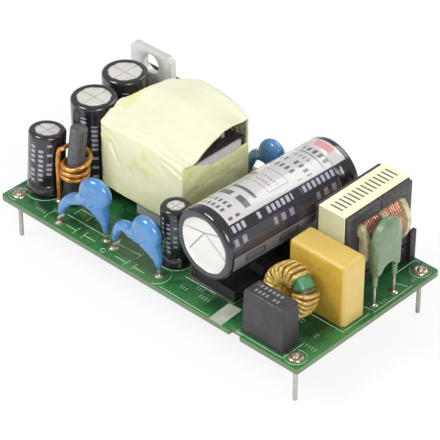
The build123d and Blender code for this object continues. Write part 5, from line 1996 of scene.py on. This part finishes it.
@dataclass
class Transformer(Assembly):
    """Taped transformer with its core, bobbin and winding inside the tape."""

    voxel: float = 0.2
    rounds: int = 14
    lift: float = 2.1
    lift_depth: float = 6.5
    pressed_from: float = 13.9
    pressed: float = 0.52
    pressed_span: Spot = (17.0, 13.0)
    droop_start: float = 23.0
    right: float = 33.34
    droop: tuple = ((11.8, 1.3), (12.4, 0.9), (13.2, 0.0), (14.3, -1.1), (15.7, -1.5),
                    (18.4, -1.6), (21.0, -2.0), (24.0, -1.8), (27.0, -2.3), (29.8, -1.6))
    side_edge: tuple = ((11.85, 15.2), (12.3, 15.4), (14.3, 14.75), (17.35, 13.25),
                        (20.4, 12.1), (23.9, 12.35), (28.1, 12.9), (29.75, 13.2))
    side_low: float = 3.1
    side_end: float = 28.1
    side_wall: float = 0.1
    side_front: float = 11.86
    side_grid: tuple[int, int] = (90, 44)
    tape_front: float = 11.8
    shoulder: Spot = (7.5, 6.2)
    low_corner: Point = (13.42, 11.78, 2.68)
    high_corner: Point = (33.36, 29.85, 20.12)
    crease_width: float = 0.32
    ridge: Point = (0.55, 0.75, 0.4)
    push_ends: Spot = (-0.3, 0.12)
    creases: tuple = (((16.0, 11.8, 12.8), (17.2, 11.8, 10.6), (18.3, 11.8, 9.0), 0.15),
                      ((17.0, 12.2, 15.6), (22.0, 12.9, 16.3), (31.0, 12.5, 16.0), 0.14),
                      ((13.5, 15.0, 17.6), (13.5, 20.0, 16.8), (13.5, 26.0, 15.0), 0.16),
                      ((24.5, 13.4, 16.8), (28.0, 12.6, 16.2), (32.8, 13.0, 15.6), 0.14),
                      ((29.0, 12.0, 15.0), (31.2, 12.0, 14.2), (33.0, 12.0, 13.6), 0.1),
                      ((25.5, 14.2, 15.8), (28.5, 13.6, 15.4), (31.5, 14.2, 15.0), 0.16))

    def draped(self, places: np.ndarray) -> np.ndarray:
        """Lifts the front shoulder and lets the roof droop at its open end.

        Args:
            places: The points.

        Returns:
            The moved points.
        """
        across = np.clip((places[:, 0] - self.droop_start) / (self.right - self.droop_start), 0, 1)
        across = across * across * (3 - 2 * across)
        near = np.clip(1 - (places[:, 1] - self.tape_front) / self.lift_depth, 0, 1)
        low, room = self.shoulder
        high = np.clip((places[:, 2] - low) / room, 0, 1)
        fall = np.interp(places[:, 1], *zip(*self.droop))
        shift = self.lift * near * (1 - across) + fall * across
        out = places.copy()
        out[:, 2] += shift * high * high * (3 - 2 * high)
        return out

    def creased(self, places: np.ndarray) -> np.ndarray:
        """Height of the creases and puckers over the drape.

        Args:
            places: The points.

        Returns:
            Height at each point.
        """
        share, offset, width = self.ridge
        push = np.zeros(len(places))
        for start, middle, end, depth in self.creases:
            gap = np.minimum(line_gap(places, start, middle), line_gap(places, middle, end))
            push -= depth * np.exp(-((gap / self.crease_width) ** 2))
            push += depth * share * np.exp(-(((gap - offset) / width) ** 2))
        push += 0.11 * np.array([noise.noise(Vector(p) * 0.28) + 0.5 * noise.noise(Vector(p) * 0.7)
                                 for p in places])
        edge = (places[:, 0] < 16.0) | (places[:, 1] > 26.5)
        ragged = np.array([noise.noise(Vector(p) * 1.5 + Vector((9, 2, 5))) for p in places])
        push += 0.1 * ragged * edge * (places[:, 2] > 12.0)
        return np.clip(push, *self.push_ends)

    def tape(self, node: Piece) -> Piece:
        """Draped tape with soft corners, puckers and a few creases.

        Args:
            node: Node to copy.

        Returns:
            The piece.
        """
        piece = melted(node, "cover_tape", self.voxel, self.rounds)
        places = self.draped(coordinates(piece.data))
        normals = np.zeros(len(piece.data.vertices) * 3)
        piece.data.vertices.foreach_get("normal", normals)
        normals = normals.reshape(-1, 3)
        outward = np.sign(np.einsum("ij,ij->i", normals, places - places.mean(0)))
        places += normals * (self.creased(places) * outward)[:, None]
        move_points(piece.data, np.clip(places, self.low_corner, self.high_corner))
        piece.data.shade_smooth()
        return piece

    def winding(self, node: Piece) -> Piece:
        """Winding whose right end lies lower, under the drooping tape.

        Args:
            node: Node to copy.

        Returns:
            The piece.
        """
        piece = merged(node, "winding_layers", flatten=False)
        places = coordinates(piece.data)
        start, room = self.pressed_span
        across = np.clip((places[:, 0] - start) / room, 0, 1)
        above = np.maximum(places[:, 2] - self.pressed_from, 0)
        places[:, 2] -= above * self.pressed * across
        move_points(piece.data, places)
        soften(piece.data)
        return piece

    def side_depth(self, y: float, z: float) -> float:
        """How far the side layer lies inside the tape's right end at a place.

        Args:
            y: Place across the board.
            z: Height.

        Returns:
            The depth.
        """
        spot = Vector((0, y * 0.42, z * 0.42))
        sag = 0.13 + 0.14 * noise.noise(spot) + 0.05 * noise.noise(spot * 3)
        pull = min(1.0, (y - self.side_front) / 1.2) * min(1.0, (self.side_end - y) / 1.0)
        wander = 0.5 * noise.noise(Vector((y * 0.35, 7.0, 2.0)))
        fold = 0.07 * math.exp(-((z - 8.6 - 0.05 * y - wander) / 0.3) ** 2)
        return max(0.0, sag + fold) * pull

    def side_points(self) -> list[Vector]:
        """Points of the side layer's outer and then of its inner face.

        Returns:
            The points.
        """
        columns, rows = self.side_grid
        points = []
        for layer in (0.0, 1.0):
            for column in range(columns + 1):
                y = self.side_front + (self.side_end - self.side_front) * column / columns
                top = float(np.interp(y, *zip(*self.side_edge)))
                top += 0.1 * noise.noise(Vector((y * 0.9, 3.0, 1.0)))
                for row in range(rows + 1):
                    z = self.side_low + (top - self.side_low) * row / rows
                    x = self.right - 0.01 - self.side_depth(y, z)
                    if row == rows:
                        x -= 0.06
                    points.append(TO_FRAME @ Vector((x - layer * self.side_wall, y, z)))
        return points

    def side(self) -> Piece:
        """Layer of tape on the right hand side, whose upper edge follows the strip.

        Returns:
            The piece.
        """
        columns, rows = self.side_grid
        width, count = rows + 1, (rows + 1) * (columns + 1)
        faces = []
        for column in range(columns):
            for row in range(rows):
                a = column * width + row
                quad = (a, a + width, a + width + 1, a + 1)
                faces += [quad, tuple(count + i for i in reversed(quad))]
        rim = ([c * width for c in range(columns + 1)]
               + [columns * width + r for r in range(1, rows + 1)]
               + [c * width + rows for c in range(columns - 1, -1, -1)]
               + [r for r in range(rows - 1, 0, -1)])
        for a, b in zip(rim, rim[1:] + rim[:1]):
            faces.append((b, a, a + count, b + count))
        mesh = bpy.data.meshes.new("side_tape")
        mesh.from_pydata(self.side_points(), [], faces)
        face_outwards(mesh)
        soften(mesh)
        return to_object("side_tape", mesh)

    def build(self) -> None:
        """Makes the tape, the side layer and the pressed winding, and eases the core and the
        bobbin.
        """
        settle(self.tape(self.nodes["transformer_cover_tape"]), CREAM_TAPE, Slot.TAPE,
               "transformer_cover_tape")
        settle(self.winding(self.nodes["transformer_winding"]), WINDING_TAPE, Slot.WINDING,
               "transformer_winding")
        # the side layer takes the wrap tape, with painted light on its right hand faces
        settle(self.side(), WRAP_TAPE, Slot.TAPE)
        for side in ("front", "rear"):
            name = "transformer_core_" + side
            self.round_off(name, "core_" + side, 0.3, FERRITE, Slot.FERRITE)
        self.round_off("transformer_bobbin", "winding_former", 0.12, GREY_PLASTIC,
                       Slot.GREY_BOBBIN)
        self.dress(WRAP_TAPE, "transformer_wrap")
        self.dress(EDGE_STRIP, "transformer_edge_strip")


@dataclass
class DippedPart(Assembly):
    """Disc on two legs, dipped together in one soft coat."""

    node: str
    leads: str
    finish: Finish
    slot: Slot
    voxel: float = 0.14
    rounds: int = 22

    def coat(self) -> Piece:
        """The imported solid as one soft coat."""
        name = self.node.replace("_body", "_coat")
        return melted(self.nodes[self.node], name, self.voxel, self.rounds)

    def build(self) -> None:
        """Makes the coat and dresses the leads."""
        settle(self.coat(), self.finish, self.slot, self.node)
        self.dress(TIN, self.leads)


@dataclass
class BridgeCapacitor(DippedPart):
    """Blue disc whose coat runs down both legs and thins out.

    The disc and the arms are drawn in the plane of the two feet: (along the feet,
    height), with the disc's radius or the arm's girth as the third number.
    """

    feet: tuple = ((13.406, 1.4), (23.176, 3.335))
    disc: Point = (8.0, 8.95, 3.2)
    half_thickness: float = 1.45
    lens_steps: int = 24
    arms: tuple = ()

    def foot_line(self) -> tuple[Vector, Vector]:
        """Place of the first foot and the direction to the second."""
        start, end = (Vector((*foot, 0.0)) for foot in self.feet)
        return start, (end - start).normalized()

    def spot(self, along: float, height: float) -> Point:
        """Board place of a point in the plane of the feet."""
        start, run = self.foot_line()
        return tuple(start + run * along + Vector((0, 0, height)))

    def lens(self) -> list[Spot]:
        """Profile of the disc with its rounded edge.

        Returns:
            (radius, height) pairs.
        """
        profile = []
        for step in range(self.lens_steps + 1):
            angle = math.pi * (step / self.lens_steps - 0.5)
            radius = self.disc[2] * math.cos(angle) ** 0.72 if abs(angle) < 1.57 else 0.0
            profile.append((radius, self.half_thickness * signed_power(math.sin(angle), 0.9)))
        return profile

    def coat(self) -> Piece:
        """Disc and arms as one soft coat.

        Returns:
            The piece.
        """
        run, up = self.foot_line()[1], Vector((0, 0, 1))
        axes = Matrix((run, up, run.cross(up))).transposed().to_4x4()
        name = self.node.replace("_body", "_coat")
        disc = turned(name + "_disc", self.lens(), 64,
                      Matrix.Translation(self.spot(*self.disc[:2])) @ axes)
        runs, girths = [], []
        for arm in self.arms:
            line = flowing(arm, 8)
            runs.append([self.spot(a, h) for a, h, g in line])
            girths.append([g for a, h, g in line])
        arms = self.shop.drawn(name + "_arms", runs, 1.0, self.finish, sides=20, girths=girths)
        return skinned(joined(name, [disc, arms]), self.voxel, self.rounds)


@dataclass
class LineFilter(Assembly):
    """Standing choke with two windings on one former, held by printed tape."""

    centre_x: float = 60.35
    axis_z: float = 9.9
    front: float = 18.98
    depth: float = 16.0
    reach: float = 5.0
    half_window: float = 4.0
    leg: float = 2.35
    flange: float = 1.0
    wire_radius: float = 0.26
    wire_step: float = 0.5
    turn_steps: int = 56

    def loop(self, y: float, radius: float, shift: float) -> list[Point]:
        """One turn round the former at a depth y.

        Args:
            y: Place across the board.
            radius: Radius of the turn.
            shift: How far the turn wanders.

        Returns:
            Points of the turn.
        """
        points = []
        for step in range(self.turn_steps):
            angle = 2 * math.pi * step / self.turn_steps
            x = radius * math.cos(angle)
            z = max(-self.half_window, min(self.half_window, radius * math.sin(angle)))
            points.append((self.centre_x + x, y + shift * math.sin(angle + 0.8),
                           self.axis_z + z))
        return points

    def winding(self, name: str, index: int) -> Piece:
        """Turns laid side by side between two flanges.

        Args:
            name: Name of the piece.
            index: 0 for the front one, 1 for the rear one.

        Returns:
            The piece.
        """
        start = self.front + self.leg + self.flange
        room = (self.depth - 2 * self.leg - 3 * self.flange) / 2
        low = start + index * (room + self.flange) + self.wire_radius + 0.04
        count = int((room - 2 * self.wire_radius) / self.wire_step) + 1
        runs = []
        for turn in range(count):
            radius = self.reach - self.wire_radius + 0.05 * math.sin(turn * 2.1 + index)
            runs.append(self.loop(low + turn * self.wire_step, radius, 0.09))
        inner = [self.loop(low + 0.2 + turn * self.wire_step, self.reach - 0.7, 0.05)
                 for turn in range(count - 1)]
        return self.shop.drawn(name, runs + inner, self.wire_radius, PINK_COPPER, sides=10,
                               closed=True)

    def build(self) -> None:
        """Makes the windings and eases the core, former, tape and base."""
        for index, side in enumerate(("front", "rear")):
            settle(self.winding(f"filter_{side}_turns", index), PINK_COPPER, Slot.COPPER,
                   f"line_filter_{side}_winding")
            name = "line_filter_core_" + side
            self.round_off(name, f"filter_core_{side}", 0.28, FERRITE, Slot.FERRITE)
        self.round_off("line_filter_bobbin", "filter_former", 0.15, BEIGE_PLASTIC,
                       Slot.BEIGE_BOBBIN)
        self.round_off("line_filter_base", "filter_stand", 0.2, BLACK_PLASTIC, Slot.BLACK_BOBBIN)
        self.round_off("line_filter_tape", "filter_band", 0.22, PRINTED_TAPE, Slot.PRINTED_TAPE, 4)


@dataclass
class ToroidChoke(Assembly):
    """Green ring core with turns of gold wire and finer dark wire between them, whose dark brown
    also paints the shade in the gaps between the turns.
    """

    centre: Point = (60.402, 9.139, 5.884)
    tilt: float = 81.0
    outer: float = 4.2
    bore: float = 2.0
    width: float = 3.0
    wire_radius: float = 0.36
    fine_radius: float = 0.17
    spans: tuple = ((58.0, 250.0, 14), (292.0, 380.0, 7))
    single: float = 29.0
    slack: float = 0.02
    squareness: float = 0.55
    turn_steps: int = 40
    ease: float = 0.45

    def place(self) -> Matrix:
        """Matrix with z along the ring's axis."""
        return (Matrix.Translation(self.centre)
                @ Matrix.Rotation(math.radians(self.tilt), 4, "X"))

    def loop(self, direction: float, radius: float, twist: float = 3.0) -> list[Point]:
        """One turn round the ring's section, in a direction in degrees.

        Args:
            direction: Direction in degrees.
            radius: Radius of the turn.
            twist: How far the turn leans, in degrees.

        Returns:
            Points of the turn.
        """
        place = self.place()
        middle = (self.outer + self.bore) / 2
        half_r = (self.outer - self.bore) / 2 + radius + self.slack
        half_w = self.width / 2 + radius + self.slack
        points = []
        for step in range(self.turn_steps):
            t = 2 * math.pi * step / self.turn_steps
            c, s = math.cos(t), math.sin(t)
            r = middle + half_r * signed_power(c, self.squareness)
            w = half_w * signed_power(s, self.squareness)
            angle = math.radians(direction + twist * s)
            points.append(tuple(place @ Vector((r * math.cos(angle), r * math.sin(angle), w))))
        return points

    def core(self) -> Piece:
        """Coated ring with rounded edges.

        Returns:
            The piece.
        """
        half, e = self.width / 2, self.ease
        corners = []
        for r, w, start in ((self.outer - e, half - e, 0), (self.bore + e, half - e, 90),
                            (self.bore + e, e - half, 180), (self.outer - e, e - half, 270)):
            for step in range(6):
                angle = math.radians(start + 90 * step / 5)
                corners.append((r + e * math.cos(angle), w + e * math.sin(angle)))
        return turned("ring_core", corners, 96, self.place(), closed=True)

    def build(self) -> None:
        """Makes the ring and its turns."""
        settle(self.core(), GREEN_CORE, Slot.TOROID_CORE, "toroid_core")
        thick, fine = [], [self.loop(self.single, self.fine_radius)]
        for start, end, count in self.spans:
            step = (end - start) / count
            for index in range(count):
                direction = start + step * (index + 0.5)
                thick.append(self.loop(direction, self.wire_radius,
                                       3.0 + 1.5 * math.sin(index * 2.3)))
                fine.append(self.loop(direction + step * 0.5, self.fine_radius,
                                      3.0 + math.sin(index)))
        wire = self.shop.drawn("ring_turns", thick, self.wire_radius, GOLD_WIRE, closed=True)
        settle(wire, GOLD_WIRE, Slot.TOROID_WIRE, "toroid_winding")
        # fine wire whose dark brown also paints the shade between the turns
        wire = self.shop.drawn("ring_fine_turns", fine, self.fine_radius, FINE_WIRE_AND_GAP_SHADE, sides=8,
                               closed=True)
        settle(wire, FINE_WIRE_AND_GAP_SHADE, Slot.COPPER)
        self.dress(TIN, "toroid_leads")


@dataclass
class BoxParts(Assembly):
    """Yellow mains capacitor and the fuse in its square case."""

    case_ease: float = 0.28
    fuse_ease: float = 0.16

    def build(self) -> None:
        """Eases both boxes."""
        self.round_off("x_capacitor", "mains_capacitor_case", self.case_ease, YELLOW_CASE,
                       Slot.YELLOW_CASE, 4)
        self.round_off("fuse", "fuse_case_box", self.fuse_ease, FUSE_CASE, Slot.FUSE)


@dataclass
class OutputRectifier(Assembly):
    """Rectifier with a bare tab behind the output capacitors."""

    ease: float = 0.12

    def build(self) -> None:
        """Eases the tab and the body."""
        self.round_off("rectifier_tab", "rectifier_plate", self.ease, TAB_METAL, Slot.TAB)
        self.round_off("rectifier_body", "rectifier_case", self.ease, MOULDED, Slot.MOULDED)
        self.dress(TIN, "rectifier_leads")


@dataclass
class SmallParts(Assembly):
    """Resistor behind the transformer and the chips under the board."""

    chip_ease: float = 0.12
    chips: tuple[str, ...] = ("bridge_rectifier", "controller_chip", "optocoupler",
                              "clamp_diode")

    def build(self) -> None:
        """Dresses every small part."""
        for name in self.chips:
            self.round_off(name, name + "_case", self.chip_ease, MOULDED, Slot.MOULDED)
        self.dress(TIN, "chip_legs", "axial_resistor_leads")
        self.dress(MOULDED, "chip_resistors")
        self.dress(CHIP_TAN, "chip_capacitors")
        self.dress(RESISTOR_BODY, "axial_resistor_body")


def main() -> None:
    """Loads the frame, sets the studio and builds every sub-assembly."""
    logging.basicConfig(level=logging.INFO, format="%(name)s %(message)s")
    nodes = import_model()["nodes"]
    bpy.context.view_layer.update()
    Studio().build()
    stock = (Workshop(), nodes)
    parts = [
        CircuitBoard(*stock),
        UprightCapacitor(*stock, "small_capacitor", (4.45, 6.75), 3.35, 12.0, lean=5.0,
                         facing=-62.0),
        UprightCapacitor(*stock, "front_output_capacitor", (8.441, 15.426), 4.2, 17.2,
                         facing=-85.0, columns=4),
        UprightCapacitor(*stock, "rear_output_capacitor", (6.560, 24.840), 4.2, 17.2,
                         facing=-70.0),
        UprightCapacitor(*stock, "supply_capacitor", (35.791, 7.65), 2.65, 11.6, facing=-75.0),
        BulkCapacitor(*stock),
        SwitchTransistor(*stock),
        RodChoke(*stock),
        Transformer(*stock),
        BridgeCapacitor(*stock, "output_bridge_capacitor_body", "output_bridge_capacitor_leads",
                        BLUE_DIP, Slot.BLUE_COAT, arms=(
                            ((6.6, 8.0, 2.0), (4.9, 6.9, 1.3), (2.8, 5.95, 1.08),
                             (1.3, 4.3, 0.95), (0.62, 2.7, 0.66), (0.35, 1.9, 0.42)),
                            ((8.3, 7.4, 2.1), (9.1, 5.7, 1.5), (9.75, 4.0, 1.0),
                             (9.98, 2.4, 0.66), (9.96, 1.5, 0.42)))),
        BridgeCapacitor(*stock, "input_bridge_capacitor_body", "input_bridge_capacitor_leads",
                        BLUE_DIP, Slot.BLUE_COAT, feet=((25.576, 2.6), (36.675, 2.445)),
                        disc=(8.3, 7.5, 3.2), arms=(
                            ((6.8, 6.8, 1.9), (5.0, 6.2, 1.35), (3.3, 6.35, 1.1),
                             (1.95, 5.6, 1.02), (1.0, 4.0, 0.86), (0.5, 2.5, 0.6),
                             (0.3, 1.8, 0.42)),
                            ((8.9, 6.6, 2.1), (9.9, 5.2, 1.5), (10.7, 3.9, 1.05),
                             (11.05, 2.6, 0.7), (11.1, 1.6, 0.42)))),
        BridgeCapacitor(*stock, "rear_bridge_capacitor_body", "rear_bridge_capacitor_leads",
                        BLUE_DIP, Slot.BLUE_COAT, feet=((29.441, 31.9), (39.441, 31.9)),
                        disc=(6.0, 9.6, 2.8), half_thickness=1.4, arms=(
                            ((5.0, 9.0, 1.8), (3.3, 8.2, 1.2), (1.8, 7.3, 1.02),
                             (0.9, 5.4, 0.9), (0.4, 3.6, 0.64), (0.2, 2.6, 0.42)),
                            ((6.8, 8.2, 1.9), (8.0, 6.9, 1.3), (9.0, 5.2, 1.0),
                             (9.7, 3.6, 0.68), (9.9, 2.6, 0.42)))),
        LineFilter(*stock),
        ToroidChoke(*stock),
        DippedPart(*stock, "thermistor_body", "thermistor_leads", GREEN_DIP, Slot.GREEN_COAT),
        BoxParts(*stock),
        OutputRectifier(*stock),
        SmallParts(*stock),
    ]
    for part in parts:
        part.build()


if __name__ == "__main__":
    main()
